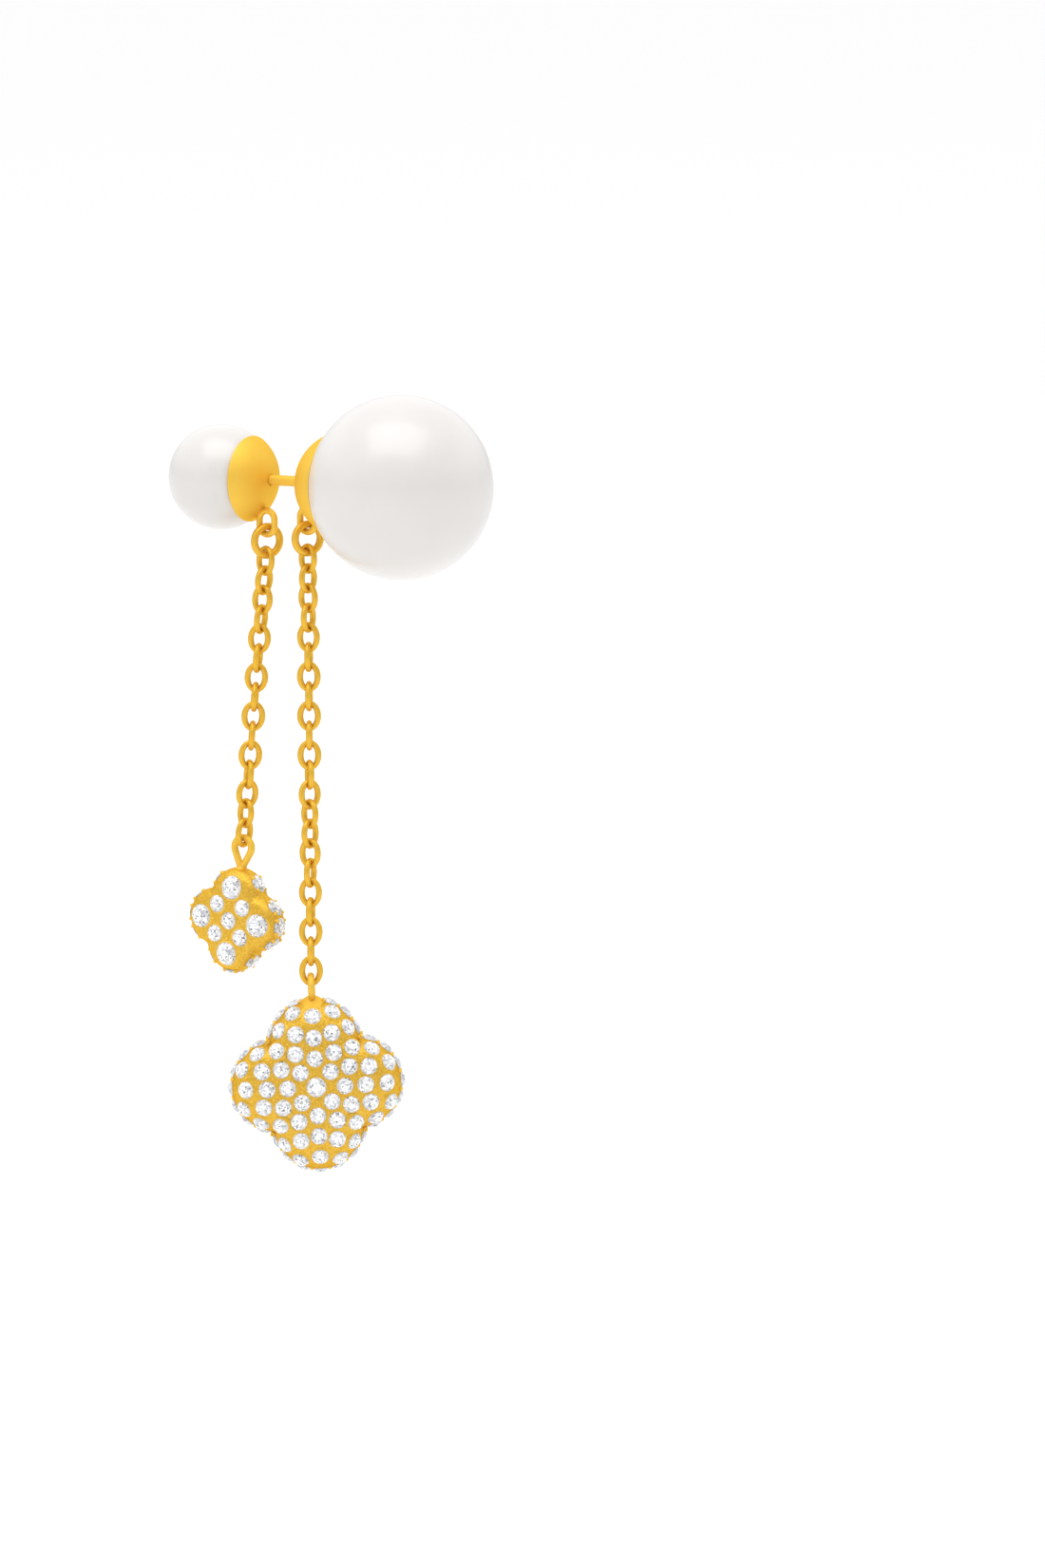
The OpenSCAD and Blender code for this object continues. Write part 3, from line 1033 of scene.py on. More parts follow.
@dataclass
class PearlSlide(PearlSide):
    """The back of the earring: small pearl, cup, sleeve, loop and jump ring."""

    body: Body = Body.BACK
    behind: int = 1
    metal: str = "back_cup_and_sleeve"
    closed: bool = True
    pearl: float = 8.0
    cup: Cup = field(default_factory=lambda: Cup(3.88, 3.3, 0.57, 8.0))
    loop_angle: float = 43.2
    loop_sink: float = 0.17
    sleeve: float = 1.7
    sleeve_over: float = 0.4
    mouth_round: float = 0.03

    def drill(self) -> tuple[float, float]:
        """Diameter and depth of the pearl's hole."""
        end = self.post.end + self.sleeve_over + 2 * self.post.glue_gap
        return self.sleeve + 2 * self.post.glue_gap, end - (self.distance() - self.pearl / 2)

    def outline(self) -> list[Point]:
        """Closed outline of sleeve and cup.

        Returns:
            Distances from the axis and Y, round from the bore's mouth and back to it.
        """
        bore, top = self.post.diameter / 2 + self.post.slide_gap, self.post.bare / 2
        mouth, end = bore + 2 * self.mouth_round, self.post.end + self.sleeve_over
        points = fillet((bore, top + 1), (bore, top + 0.02), self.cup.back(mouth)[0], self.mouth_round)
        return points + self.shell(mouth, self.sleeve / 2) + [(self.sleeve / 2, end), (bore, end)]


@dataclass
class CableChain:
    """Cable chain: oval links of round wire, a little thicker at their sides than at their ends."""

    length: float = 2.33
    width: float = 1.82
    end_wire: float = 0.42
    side_wire: float = 0.47
    steps: int = 40
    sides: int = 12

    def tree(self) -> GeometryTree:
        """The Geometry Nodes tree that bends one link and hangs it at each point."""
        tree = GeometryTree("cable_chain", {"Length": "NodeSocketFloat", "Width": "NodeSocketFloat",
                                            "End Wire": "NodeSocketFloat", "Side Wire": "NodeSocketFloat"})
        circle = tree.add("GeometryNodeCurvePrimitiveCircle", {"Resolution": self.steps, "Radius": 1.0})
        place = tree.add("ShaderNodeSeparateXYZ", {0: tree.add("GeometryNodeInputPosition").outputs[0]})
        side = tree.math("MULTIPLY", place.outputs[0], place.outputs[0])
        extra = tree.math("SUBTRACT", tree.inlet["Side Wire"], tree.inlet["End Wire"])
        wire = tree.math("ADD", tree.inlet["End Wire"], tree.math("MULTIPLY", extra, side))
        thick = tree.add("GeometryNodeSetCurveRadius",
                         {"Curve": circle.outputs[0], "Radius": tree.math("MULTIPLY", wire, 0.5)})
        wide = tree.math("SUBTRACT", tree.inlet["Width"], tree.inlet["Side Wire"])
        tall = tree.math("SUBTRACT", tree.inlet["Length"], tree.inlet["End Wire"])
        across = tree.math("MULTIPLY", place.outputs[0], tree.math("MULTIPLY", wide, 0.5))
        along = tree.math("MULTIPLY", place.outputs[1], tree.math("MULTIPLY", tall, 0.5))
        spot = tree.add("ShaderNodeCombineXYZ", {0: across, 1: along})
        bent = tree.add("GeometryNodeSetPosition",
                        {"Geometry": thick.outputs[0], "Position": spot.outputs[0]})
        round_wire = tree.add("GeometryNodeCurvePrimitiveCircle", {"Resolution": self.sides, "Radius": 1.0})
        link = tree.add("GeometryNodeCurveToMesh",
                        {"Curve": bent.outputs[0], "Profile Curve": round_wire.outputs[0],
                         "Scale": tree.add("GeometryNodeInputRadius").outputs[0]})
        turn = tree.add("FunctionNodeEulerToRotation", {0: tree.attribute("turn", "FLOAT_VECTOR")})
        hung = tree.add("GeometryNodeInstanceOnPoints",
                        {"Points": tree.inlet["Geometry"], "Instance": link.outputs[0],
                         "Rotation": turn.outputs[0]})
        tree.finish(hung.outputs[0])
        return tree

    def make(self, name: str, node: str, body: Body, finishes: Finishes) -> None:
        """Makes a chain, link for link where the frame has it.

        Args:
            name: Name of the piece.
            node: The node that it replaces.
            body: The body that it rides on.
            finishes: The materials.
        """
        links = [Axes.of(points) for points in solids_of(node)]
        sides = [a.longest.cross(a.shortest) for a in links]
        turns = [attitude(side, a.longest, side.cross(a.longest)) for side, a in zip(sides, links)]
        cloud = point_cloud([a.middle for a in links], turns, [1.0] * len(links))
        sizes = {"Length": self.length, "Width": self.width,
                 "End Wire": self.end_wire, "Side Wire": self.side_wire}
        values: dict[str, object] = {label: size * MM for label, size in sizes.items()}
        values["Material"] = finishes.wire
        piece = self.tree().run(name, cloud, values, Shading.SMOOTH)
        settle(piece, body, Slot.GOLD, node)


@dataclass
class BrilliantCut:
    """A round brilliant: table, stars, kites and girdle facets, as shares of its diameter."""

    table: float = 0.29
    table_edge: float = 0.034
    star: float = 0.405
    star_height: float = 0.15
    crown: float = 0.24
    shoulder: float = 0.48
    shoulder_height: float = 0.045
    girdle: float = 0.035
    culet: float = 0.16
    girdle_radius: float = 0.515
    table_drop: float = 0.02
    # Painted grey of the facets, from 0 for none to 1 for the full dark rim colour, standing in for dark
    # reflections; the outer ones are for the two upper girdle facets and the table's edge.
    outer_greys: tuple[float, float, float] = (0.45, 0.25, 0.6)
    kite_greys: tuple[float, ...] = (0.0, 0.3, 0.0, 0.5, 0.2, 0.0, 0.4, 0.0)
    star_greys: tuple[float, ...] = (0.45, 0.0, 0.3, 0.0, 0.55, 0.1, 0.0, 0.35)

    @classmethod
    def for_edge(cls, crown: float = 0.24) -> "BrilliantCut":
        """The cut for stones that are seen from the side, with more of their facets painted grey as dark
        reflections.

        Args:
            crown: Height of the crown.

        Returns:
            The cut.
        """
        return cls(crown=crown, star_height=0.62 * crown, outer_greys=(0.62, 0.42, 0.8),
                   kite_greys=(0.3, 0.6, 0.15, 0.7, 0.4, 0.15, 0.55, 0.25),
                   star_greys=(0.6, 0.25, 0.45, 0.15, 0.7, 0.3, 0.15, 0.5))

    def item(self) -> bpy.types.Object:
        """One stone of diameter 1 that looks along Z, with each facet's painted grey, a painted dark
        reflection, as an attribute.
        """
        piece = MeshPiece()
        inner, halves = self.table - self.table_edge, range(16)
        stars, shoulders, edges, point = 8, 16, 64, 72
        points = [self.at(self.table, 22.5 + 45 * i, self.crown - self.table_drop) for i in range(8)]
        points += [self.at(self.star, 45 * i, self.star_height) for i in range(8)]
        points += [self.at(self.shoulder, 22.5 * i, self.shoulder_height) for i in halves]
        points += [self.at(self.girdle_radius, 22.5 * i, 0.0) for i in halves]
        points += [self.at(self.girdle_radius, 22.5 * i, -self.girdle) for i in halves]
        points += [self.at(inner, 22.5 + 45 * i, self.crown) for i in range(8)]
        points.append(Vector((0, 0, -self.culet)))
        faces: list[tuple[int, ...]] = [tuple(range(edges, point))]
        greys = [0.0]
        for i in range(8):
            table, before, star, after = i, (i - 1) % 8, stars + i, stars + (i + 1) % 8
            left, middle, right = (shoulders + k % 16 for k in (2 * i - 1, 2 * i, 2 * i + 1))
            faces += [(before, star, table), (table, star, right, after), (star, left, middle),
                      (star, middle, right), (table, (i + 1) % 8, edges + (i + 1) % 8, edges + i)]
            greys += [self.star_greys[i], self.kite_greys[i], *self.outer_greys]
        for j in halves:
            a, b = shoulders + j, shoulders + (j + 1) % 16
            faces += [(a, a + 16, b + 16, b), (a + 16, a + 32, b + 32, b + 16), (a + 32, point, b + 32)]
            # The lowest band of the crown is painted half dark, and the girdle band and pavilion fully dark:
            # a painted dark rim.
            greys += [0.5, 1.0, 1.0]
        piece.add(points, faces)
        item = piece.item("brilliant", Shading.FACETED)
        item.data.attributes.new("grey", "FLOAT", "FACE").data.foreach_set("value", greys)
        return item

    def at(self, radius: float, angle: float, height: float) -> Vector:
        """A point by its radius, its angle in degrees and its height."""
        t = math.radians(angle)
        return Vector((radius * math.cos(t), radius * math.sin(t), height))


class StoneSetter:
    """Sets copies of one small item on seats by Geometry Nodes."""

    def __init__(self) -> None:
        """Makes the tree: each item is turned by its point's angles and spun by a seeded draw."""
        self.tree = GeometryTree("set_items", {"Item": "NodeSocketObject", "Spin": "NodeSocketFloat"})
        tree = self.tree
        item = tree.add("GeometryNodeObjectInfo", {"Object": tree.inlet["Item"]})
        turn = tree.add("FunctionNodeEulerToRotation", {0: tree.attribute("turn", "FLOAT_VECTOR")})
        put = tree.add("GeometryNodeInstanceOnPoints",
                       {"Points": tree.inlet["Geometry"], "Instance": item.outputs["Geometry"],
                        "Rotation": turn.outputs[0], "Scale": tree.attribute("size", "FLOAT")})
        draw = tree.add("FunctionNodeRandomValue", {2: 0.0, 3: tree.inlet["Spin"], "Seed": SEED},
                        data_type="FLOAT")
        spin = tree.add("ShaderNodeCombineXYZ", {2: draw.outputs[1]})
        angle = tree.add("FunctionNodeEulerToRotation", {0: spin.outputs[0]})
        spun = tree.add("GeometryNodeRotateInstances",
                        {"Instances": put.outputs[0], "Rotation": angle.outputs[0]})
        tree.finish(spun.outputs[0])

    def put(self, name: str, item: bpy.types.Object, seats: list[Seat], spin: float,
            material: bpy.types.Material, shading: Shading) -> bpy.types.Object:
        """Sets the items.

        Args:
            name: Name of the piece.
            item: The item, of diameter 1.
            seats: Where the items go, and their diameters.
            spin: Largest turn about the seat's own direction, in radians.
            material: The material of the piece.
            shading: How its faces are shaded.

        Returns:
            The piece.
        """
        cloud = point_cloud([s.centre for s in seats], [attitude(*s.axes()) for s in seats],
                            [s.diameter * MM for s in seats])
        return self.tree.run(name, cloud, {"Item": item, "Spin": spin, "Material": material}, shading)


@dataclass
class DropMetal:
    """Metal of a drop: a cushion over a four-lobed outline, puffed on both faces."""

    offset: float
    lobe: float
    half: float
    swell: float = 0.08
    rise: float = 0.08
    puff: float = 5.0
    notch: float = 4.0
    columns: int = 288
    rings: int = 44

    def reach(self, angle: float) -> float:
        """Distance from the middle to the outline.

        Args:
            angle: The direction, in degrees.

        Returns:
            The distance.
        """
        off = 45 - abs(angle - 90 * round(angle / 90))
        turn = math.radians(45 - math.hypot(off, self.notch))
        lobe = self.lobe + self.swell
        return self.offset * math.cos(turn) + math.sqrt(lobe ** 2 - (self.offset * math.sin(turn)) ** 2)

    def add_to(self, piece: MeshPiece, place: Matrix, finish: int) -> None:
        """Adds the cushion to a piece.

        Args:
            piece: The piece.
            place: Where its middle and its axes go.
            finish: Place of its material.
        """
        rows = 2 * self.rings - 1
        reaches = [self.reach(360 * j / self.columns) for j in range(self.columns)]
        half = self.half + self.rise
        points = [place @ Vector((0, 0, half))]
        for i in range(1, rows + 1):
            turn = math.radians(90 * i / self.rings)
            share, height = math.sin(turn) ** (2 / self.puff), half * math.cos(turn)
            for j, reach in enumerate(reaches):
                t = math.tau * j / self.columns
                out = share * reach
                points.append(place @ Vector((out * math.cos(t), out * math.sin(t), height)))
        points.append(place @ Vector((0, 0, -half)))
        faces: list[tuple[int, ...]] = []
        n, last = self.columns, len(points) - 1
        for j in range(n):
            k = (j + 1) % n
            faces.append((0, 1 + j, 1 + k))
            faces.append((last, 1 + (rows - 1) * n + k, 1 + (rows - 1) * n + j))
            for i in range(rows - 1):
                a, b = 1 + i * n + j, 1 + i * n + k
                faces.append((a, a + n, b + n, b))
        piece.add(points, faces, finish)


@dataclass(frozen=True)
class Collar:
    """Soft collar of metal round a stone, by its width and the height of its crest over the girdle."""

    width: float
    rise: float
    finish: DropFinish
    tuck: float = 0.01
    skirt: float = 0.15
    foot: float = 0.2
    root: float = 0.45
    steps: int = 5
    sides: int = 28

    def add_to(self, piece: MeshPiece, seats: list[Seat]) -> None:
        """Adds a collar round each stone.

        Args:
            piece: The piece.
            seats: The stones.
        """
        for seat in seats:
            inner = seat.diameter / 2 - self.tuck
            outline = [(inner, -self.root), (inner, 0.0)]
            outline += [(inner + self.width * (0.5 - 0.5 * math.cos(t)), self.rise * math.sin(t))
                        for t in np.linspace(0.6, math.pi - 0.3, self.steps)]
            outline += [(inner + self.width + self.skirt, -self.skirt),
                        (inner + self.width + self.foot, -self.root)]
            place = Matrix.Translation(seat.centre) @ Matrix(seat.axes()).transposed().to_4x4()
            piece.lathe(outline, place, self.sides, True, self.finish.value)


@dataclass(frozen=True)
class Solder:
    """Smooth mound of solder at a drop's top, by its radius and its height over the metal."""

    radius: float
    height: float
    lift: float = 0.04
    skirt: float = 0.12
    root: float = 1.0
    root_share: float = 0.8
    steps: int = 14
    sides: int = 40

    def add_to(self, piece: MeshPiece, place: Matrix, metal: DropMetal) -> None:
        """Adds the mound.

        Args:
            piece: The piece.
            place: The drop's own frame.
            metal: The cushion that it stands on.
        """
        top = Matrix.Translation((0, metal.offset + metal.lobe, 0)) @ Matrix.Rotation(
            math.radians(-90), 4, "X")
        fall = self.radius * self.radius / (2 * metal.lobe) + self.skirt
        outline = [(self.radius * t, self.height * (0.5 + 0.5 * math.cos(math.pi * t)) + self.lift
                    - fall * t * t) for t in np.linspace(0, 1, self.steps)]
        outline += [(self.radius * self.root_share, -self.root), (0.0, -self.root)]
        piece.lathe(outline, place @ top, self.sides, False, DropFinish.POLISHED.value)


@dataclass(frozen=True)
class Grain:
    """Rounded grain of diameter 1, on a foot that runs out into the metal."""

    foot: float
    neck: float = 0.2
    flare: float = 0.35
    flare_steps: tuple[float, ...] = (0.05, 0.35, 1.0)
    root: float = 1.3
    steps: int = 7
    sides: int = 14

    def item(self) -> bpy.types.Object:
        """Makes the grain.

        Returns:
            The grain.
        """
        piece = MeshPiece()
        spread = self.foot - 0.5
        outline = [(0.0, 0.5)] + arc((0, 0), 0.5, 75, -15, self.steps)
        outline += [(0.5 + spread * t, -self.neck - self.flare * math.sqrt(t)) for t in self.flare_steps]
        outline += [(self.foot, -self.root), (0.0, -self.root)]
        piece.lathe(outline, Matrix.Identity(4), self.sides, False)
        return piece.item("grain", Shading.SMOOTH)


@dataclass
class Drop(ABC):
    """What both drops share: their frame, metal, collars, solder, grains, prongs and stones."""

    metal: DropMetal
    middle: Vector
    hang: Vector
    facing: Vector
    size: str
    body: Body
    face_nodes: tuple[str, ...]
    face_collar: Collar
    edge_collar: Collar | None
    solder: Solder
    smallest_grain: float
    largest_grain: float
    prong: float
    prong_lift: float
    edge_crown: float
    edge_growth: float
    wire: float = 0.54
    wire_sides: int = 16
    hang_gap: float = 0.175
    link_wire: float = 0.33
    grain_foot: float = 0.85
    grain_spacing: float = 1.6
    neighbour_reach: float = 2.1
    widest_gap: float = 0.95
    least_spread: float = 0.2
    least_agreement: float = 4.0
    prong_foot: float = 0.55
    prong_reach: float = 0.05
    prong_spacing: float = 1.7
    prong_angles: tuple[int, ...] = (42, 138, 222, 318)

    @abstractmethod
    def add_loop(self, piece: MeshPiece, place: Matrix) -> None:
        """Adds the wire that the drop hangs by."""

    def place(self) -> Matrix:
        """The drop's own frame: X across the face, Y up, Z out of the face."""
        up = (self.hang - self.middle).normalized()
        facing = (self.facing - up * self.facing.dot(up)).normalized()
        turn = Matrix((up.cross(facing), up, facing)).transposed().to_4x4()
        return Matrix.Translation(self.middle) @ turn

    def hang_rise(self) -> float:
        """Height of the wire's inner edge over the middle of the link's wire."""
        return self.hang_gap + self.link_wire / 2

    def make(self, setter: StoneSetter, finishes: Finishes) -> None:
        """Makes the metal, the grains and the stones.

        Args:
            setter: Sets the stones and the grains.
            finishes: The materials.
        """
        edge_node = f"{self.size}_edge_row"
        face_seats, edge_seats = seats_of(*self.face_nodes), seats_of(edge_node)
        piece, place = MeshPiece(), self.place()
        self.metal.add_to(piece, place, DropFinish.GRANULAR.value)
        self.face_collar.add_to(piece, face_seats)
        if self.edge_collar:
            self.edge_collar.add_to(piece, edge_seats)
        self.add_loop(piece, place)
        self.solder.add_to(piece, place, self.metal)
        materials = [finishes.granular, finishes.polished]
        settle(piece.build(f"{self.size}_clover_gold", materials, Shading.SMOOTH),
               self.body, Slot.GOLD, f"{self.size}_clover")
        for name, foot, spots in (("grains", self.grain_foot, self.grains(face_seats)),
                                  ("prongs", self.prong_foot, self.prongs(edge_seats, place))):
            grain = Grain(foot).item()
            settle(setter.put(f"{self.size}_{name}", grain, spots, 0.0, finishes.polished, Shading.SMOOTH),
                   self.body, Slot.GOLD)
            bpy.data.objects.remove(grain)
        self.set_stones(setter, finishes, BrilliantCut(), self.face_nodes, 1.0)
        self.set_stones(setter, finishes, BrilliantCut.for_edge(self.edge_crown), (edge_node,),
                        self.edge_growth)

    def set_stones(self, setter: StoneSetter, finishes: Finishes, cut: BrilliantCut,
                   nodes: tuple[str, ...], growth: float) -> None:
        """Sets the stones of some nodes.

        Args:
            setter: Sets them.
            finishes: The materials.
            cut: How they are cut.
            nodes: The nodes whose stones they replace.
            growth: Their diameter as a share of the frame's, more than one where metal covers their rims.
        """
        stone = cut.item()
        for node in nodes:
            seats = [replace(seat, diameter=seat.diameter * growth) for seat in seats_of(node)]
            stones = setter.put(node + "_cut", stone, seats, math.tau, finishes.crystal, Shading.FACETED)
            settle(stones, self.body, Slot.CRYSTAL, node)
        bpy.data.objects.remove(stone)

    def grains(self, seats: list[Seat]) -> list[Seat]:
        """Places for the grains that hold the stones: in each gap between three neighbours.

        Args:
            seats: The stones.

        Returns:
            Seats of the grains.
        """
        spots: list[Seat] = []
        far = self.neighbour_reach * max(s.diameter for s in seats)
        for i, first in enumerate(seats):
            near = [s for s in seats[i + 1:] if (s.centre - first.centre).length < far]
            for second, third in combinations(near, 2):
                spot = self.gap_between(first, second, third)
                if spot is None or any((s.centre - spot[0]).length < spot[1] - 1e-4 for s in seats):
                    continue
                facing = (first.facing + second.facing + third.facing).normalized()
                room = spot[1] - (first.diameter + second.diameter + third.diameter) / 6
                size = min(self.largest_grain, max(self.smallest_grain, 2 * room))
                if all((s.centre - spot[0]).length > self.grain_spacing * size for s in spots):
                    spots.append(Seat(spot[0], facing, size))
        return spots

    def gap_between(self, a: Seat, b: Seat, c: Seat) -> tuple[Vector, float] | None:
        """Finds the gap between three stones of a face.

        Args:
            a: One stone.
            b: Another stone.
            c: The third stone.

        Returns:
            The point as far from each of their centres, and that distance, if they stand close enough.
        """
        ab, ac = b.centre - a.centre, c.centre - a.centre
        normal = ab.cross(ac)
        agreement = normal.normalized().dot(a.facing + b.facing + c.facing) ** 2
        if normal.length < self.least_spread or agreement < self.least_agreement:
            return None
        size = normal.length_squared
        out = (normal.cross(ab) * ac.length_squared + ac.cross(normal) * ab.length_squared) / (2 * size)
        limit = self.widest_gap * max(a.diameter, b.diameter, c.diameter)
        return (a.centre + out, out.length) if out.length < limit else None

    def prongs(self, seats: list[Seat], place: Matrix) -> list[Seat]:
        """Places for a prong at each corner of each stone of the edge, where neighbours share theirs.

        Args:
            seats: The stones of the edge.
            place: The drop's own frame.

        Returns:
            Seats of the prongs.
        """
        facing = place.col[2].to_3d()
        corners: list[list[Seat]] = []
        for seat in seats:
            along = seat.facing.cross(facing).normalized()
            reach = seat.diameter / 2 + self.prong_reach
            for turn in self.prong_angles:
                t = math.radians(turn)
                spot = seat.centre + (along * math.cos(t) + facing * math.sin(t)) * reach
                corner = Seat(spot + seat.facing * self.prong_lift, seat.facing, self.prong)
                near = [c for c in corners
                        if (c[0].centre - corner.centre).length < self.prong_spacing * self.prong]
                if near:
                    near[0].append(corner)
                else:
                    corners.append([corner])
        return [Seat(mean([c.centre for c in group]), mean([c.facing for c in group]).normalized(),
                     self.prong) for group in corners]


@dataclass
class LargeDrop(Drop):
    """The large drop: paved on both faces and round its edge, with a round bail."""

    size: str = "large"
    body: Body = Body.FRONT_DROP
    face_nodes: tuple[str, ...] = LARGE_FACES
    face_collar: Collar = Collar(0.10, 0.0, DropFinish.GRANULAR)
    edge_collar: Collar | None = Collar(0.08, -0.04, DropFinish.GRANULAR)
    solder: Solder = Solder(1.5, 0.38)
    smallest_grain: float = 0.16
    largest_grain: float = 0.22
    prong: float = 0.30
    prong_lift: float = 0.0
    edge_crown: float = 0.24
    edge_growth: float = 1.0
    bail: float = 2.35
    bail_steps: int = 48

    def add_loop(self, piece: MeshPiece, place: Matrix) -> None:
        """Adds the bail, a ring that stands across the face.

        Args:
            piece: The piece.
            place: The drop's own frame.
        """
        up, facing = place.col[1].to_3d(), place.col[2].to_3d()
        bend = (self.bail - self.wire) / 2
        middle = self.hang - up * (bend - self.hang_rise() - self.wire / 2)
        path = ring_path(middle, facing, up, bend, self.bail_steps)
        piece.wire(path, place.col[0].to_3d(), self.wire, self.wire_sides, DropFinish.POLISHED.value)


@dataclass
class SmallDrop(Drop):
    """The small drop: four large and five small stones on each face, and a pear-shaped loop."""

    size: str = "small"
    body: Body = Body.BACK_DROP
    face_nodes: tuple[str, ...] = SMALL_FACES
    face_collar: Collar = Collar(0.12, 0.01, DropFinish.POLISHED)
    edge_collar: Collar | None = None
    solder: Solder = Solder(0.95, 0.30)
    smallest_grain: float = 0.26
    largest_grain: float = 0.34
    prong: float = 0.31
    prong_lift: float = 0.03
    edge_crown: float = 0.18
    edge_growth: float = 1.1
    pear_width: float = 2.06
    pear_height: float = 3.0
    pear_steps: int = 28
    leg_steps: int = 6
    foot_round: float = 0.06

    def add_loop(self, piece: MeshPiece, place: Matrix) -> None:
        """Adds the pear-shaped loop, a half circle over two legs that meet in a point.

        Args:
            piece: The piece.
            place: The drop's own frame.
        """
        across, up = place.col[0].to_3d(), place.col[1].to_3d()
        bend, tall = (self.pear_width - self.wire) / 2, self.pear_height - self.wire
        lean = math.degrees(math.asin(bend / (tall - bend)))
        flat = arc((0, -bend), bend, -lean, 180 + lean, self.pear_steps)
        foot, left, right = (0.0, -tall), flat[-1], flat[0]
        shares = [k / self.leg_steps for k in range(1, self.leg_steps)]
        flat += [tuple(Vector(left).lerp(Vector(foot), share)) for share in shares]
        flat += fillet(left, foot, right, self.foot_round, 2)
        flat += [tuple(Vector(foot).lerp(Vector(right), share)) for share in shares]
        top = self.hang + up * (self.hang_rise() + self.wire / 2)
        path = [top + across * x + up * y for x, y in flat]
        piece.wire(path, across.cross(up), self.wire, self.wire_sides, DropFinish.POLISHED.value)


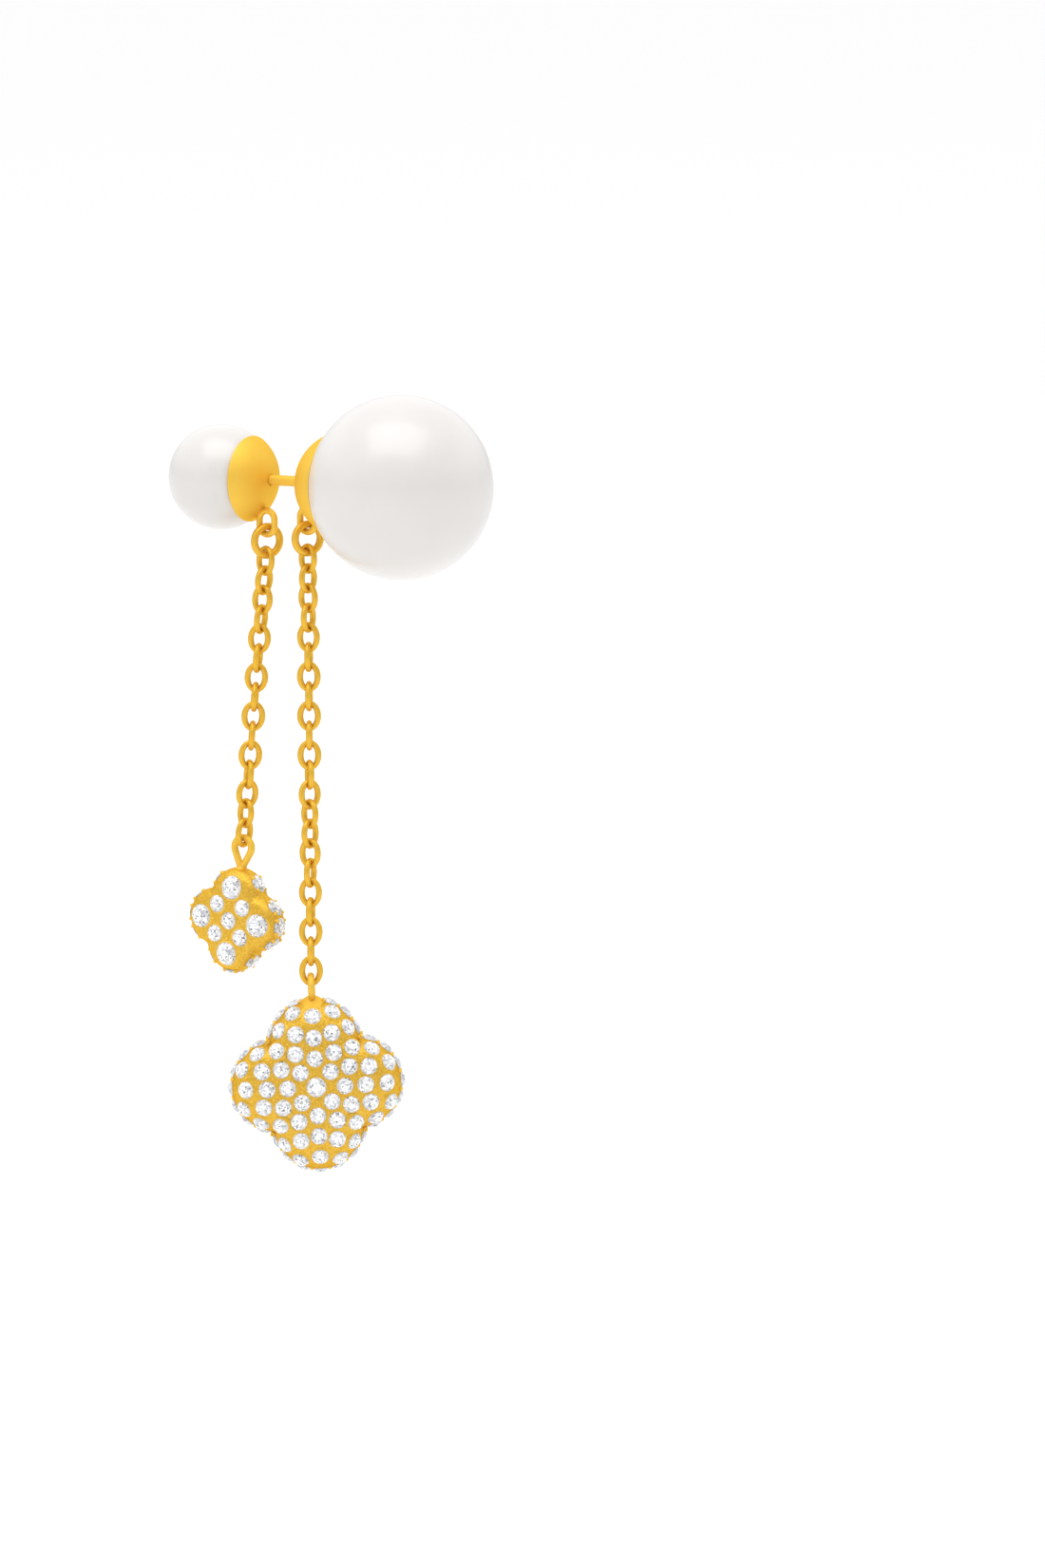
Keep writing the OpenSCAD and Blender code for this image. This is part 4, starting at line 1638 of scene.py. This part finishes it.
@dataclass(frozen=True)
class Studio:
    """Camera, floor and light. The camera stands where the photograph was taken from."""

    azimuth: float = -57.0
    elevation: float = 6.2
    distance: float = 1600.0
    shown_height: float = 118.7
    target_right: float = 17.81
    target_up: float = -22.95
    sensor: float = 36.0
    floor_level: float = -62.0
    floor_size: float = 6.0
    floor_grey: float = 0.93
    floor_roughness: float = 0.9
    lit_level: float = -20.0
    sky_behind: float = 1.2
    sky_front: float = 0.78
    horizon_share: float = 0.5
    horizon_height: float = 0.3

    def towards(self) -> Vector:
        """Direction from the object to the camera."""
        a, e = math.radians(self.azimuth), math.radians(self.elevation)
        return Vector((math.sin(a) * math.cos(e), -math.cos(a) * math.cos(e), math.sin(e)))

    def build(self) -> None:
        """Builds the camera, the floor, the lights and the surroundings."""
        self.camera()
        self.floor()
        self.lights()
        self.surroundings()
        bpy.context.scene.view_settings.view_transform = "Standard"

    def camera(self) -> None:
        """Makes the camera."""
        towards = self.towards()
        right = Vector((0, 0, 1)).cross(towards).normalized()
        up = towards.cross(right)
        target = (right * self.target_right + up * self.target_up) * MM
        data = bpy.data.cameras.new("camera")
        data.sensor_width = self.sensor
        data.lens = self.sensor * self.distance / self.shown_height
        data.clip_start = 0.01
        camera = in_scene("camera", data)
        camera.location = target + towards * self.distance * MM
        camera.rotation_euler = towards.to_track_quat("Z", "Y").to_euler()
        bpy.context.scene.camera = camera

    def floor(self) -> None:
        """Makes the plain pale floor."""
        reach, level = self.floor_size, self.floor_level * MM
        mesh = bpy.data.meshes.new("floor")
        corners = [(-reach, -reach, level), (reach, -reach, level), (reach, reach, level),
                   (-reach, reach, level)]
        mesh.from_pydata(corners, [], [(0, 1, 2, 3)])
        material = bpy.data.materials.new("floor")
        material.use_nodes = True
        shader = material.node_tree.nodes["Principled BSDF"]
        shader.inputs["Base Color"].default_value = (*(self.floor_grey,) * 3, 1)
        shader.inputs["Roughness"].default_value = self.floor_roughness
        mesh.materials.append(material)
        floor = in_scene("floor", mesh)

    def lights(self) -> None:
        """Makes the soft boxes: a wide one overhead, and a weak one at the left."""
        self.soft_box("overhead", Vector((-0.17, -0.07, 0.50)), (0.60, 0.46), 1.45)
        self.soft_box("left_fill", Vector((-0.55, 0.25, 0.18)), (0.5, 0.6), 0.15)

    def soft_box(self, name: str, place: Vector, size: tuple[float, float], power: float) -> None:
        """Makes one area light that looks at the earring.

        Args:
            name: Its name.
            place: Where it stands, in metres.
            size: Its sides, in metres.
            power: Its power in watts.
        """
        data = bpy.data.lights.new(name, "AREA")
        data.shape = "RECTANGLE"
        data.size, data.size_y = size
        data.energy = power
        light = in_scene(name, data)
        light.location = place
        middle = Vector((0, 0, self.lit_level * MM))
        light.rotation_euler = (place - middle).to_track_quat("Z", "Y").to_euler()

    def surroundings(self) -> None:
        """Makes the white surroundings, darker in front, where the camera stands, and at the horizon."""
        world = bpy.data.worlds.new("studio")
        bpy.context.scene.world = world
        world.use_nodes = True
        graph = NodeGraph(world.node_tree)
        sky = world.node_tree.nodes["Background"]
        sky.inputs["Color"].default_value = (1, 1, 1, 1)
        place = graph.add("ShaderNodeTexCoord").outputs["Generated"]
        front = graph.add("ShaderNodeVectorMath", {0: place, 1: self.towards()}, operation="DOT_PRODUCT")
        level = graph.add("ShaderNodeMapRange", {"Value": front.outputs["Value"], "From Min": -0.2,
                                                 "From Max": 0.9, "To Min": self.sky_behind,
                                                 "To Max": self.sky_front})
        rise = graph.add("ShaderNodeSeparateXYZ", {0: place}).outputs["Z"]
        band = graph.add("ShaderNodeMapRange", {"Value": rise, "From Min": 0.0, "To Max": 1.0,
                                                "From Max": self.horizon_height,
                                                "To Min": self.horizon_share})
        strength = graph.math("MULTIPLY", level.outputs[0], band.outputs[0])
        world.node_tree.links.new(strength, sky.inputs["Strength"])


def joint_place(name: str) -> Vector:
    """Place of a hinge of the frame, in millimetres."""
    joints = frame["record"]["behaviour"]["joints"]
    return Vector(next(j["pos_m"] for j in joints if j["name"] == name)) / MM


def mean(points: list[Vector]) -> Vector:
    """Middle of some points."""
    return sum(points, Vector()) / len(points)


def main() -> None:
    """Builds the earring and its studio."""
    logging.basicConfig(level=logging.INFO, format="%(message)s")
    finishes = Finishes.make()
    post, loop, ring, chain = Post(), WireLoop(), JumpRing(), CableChain()
    PearlStud(post, loop, ring).make(finishes)
    PearlSlide(post, loop, ring).make(finishes)
    chain.make("front_cable_chain", "front_chain", Body.FRONT, finishes)
    chain.make("back_cable_chain", "back_chain", Body.BACK, finishes)
    setter = StoneSetter()
    centres = seats_of(*LARGE_FACES[:2])
    LargeDrop(DropMetal(3.14, 3.23, 2.35), mean([s.centre for s in centres]),
              joint_place("front_drop_swing"), centres[0].facing).make(setter, finishes)
    lobes = seats_of(*SMALL_LOBES)
    fronts, rears = mean([s.centre for s in lobes[:4]]), mean([s.centre for s in lobes[4:]])
    SmallDrop(DropMetal(1.9, 1.94, 1.2, swell=0.17, puff=7.0), (fronts + rears) / 2,
              joint_place("back_drop_swing"), fronts - rears).make(setter, finishes)
    Studio().build()


if __name__ == "__main__":
    main()
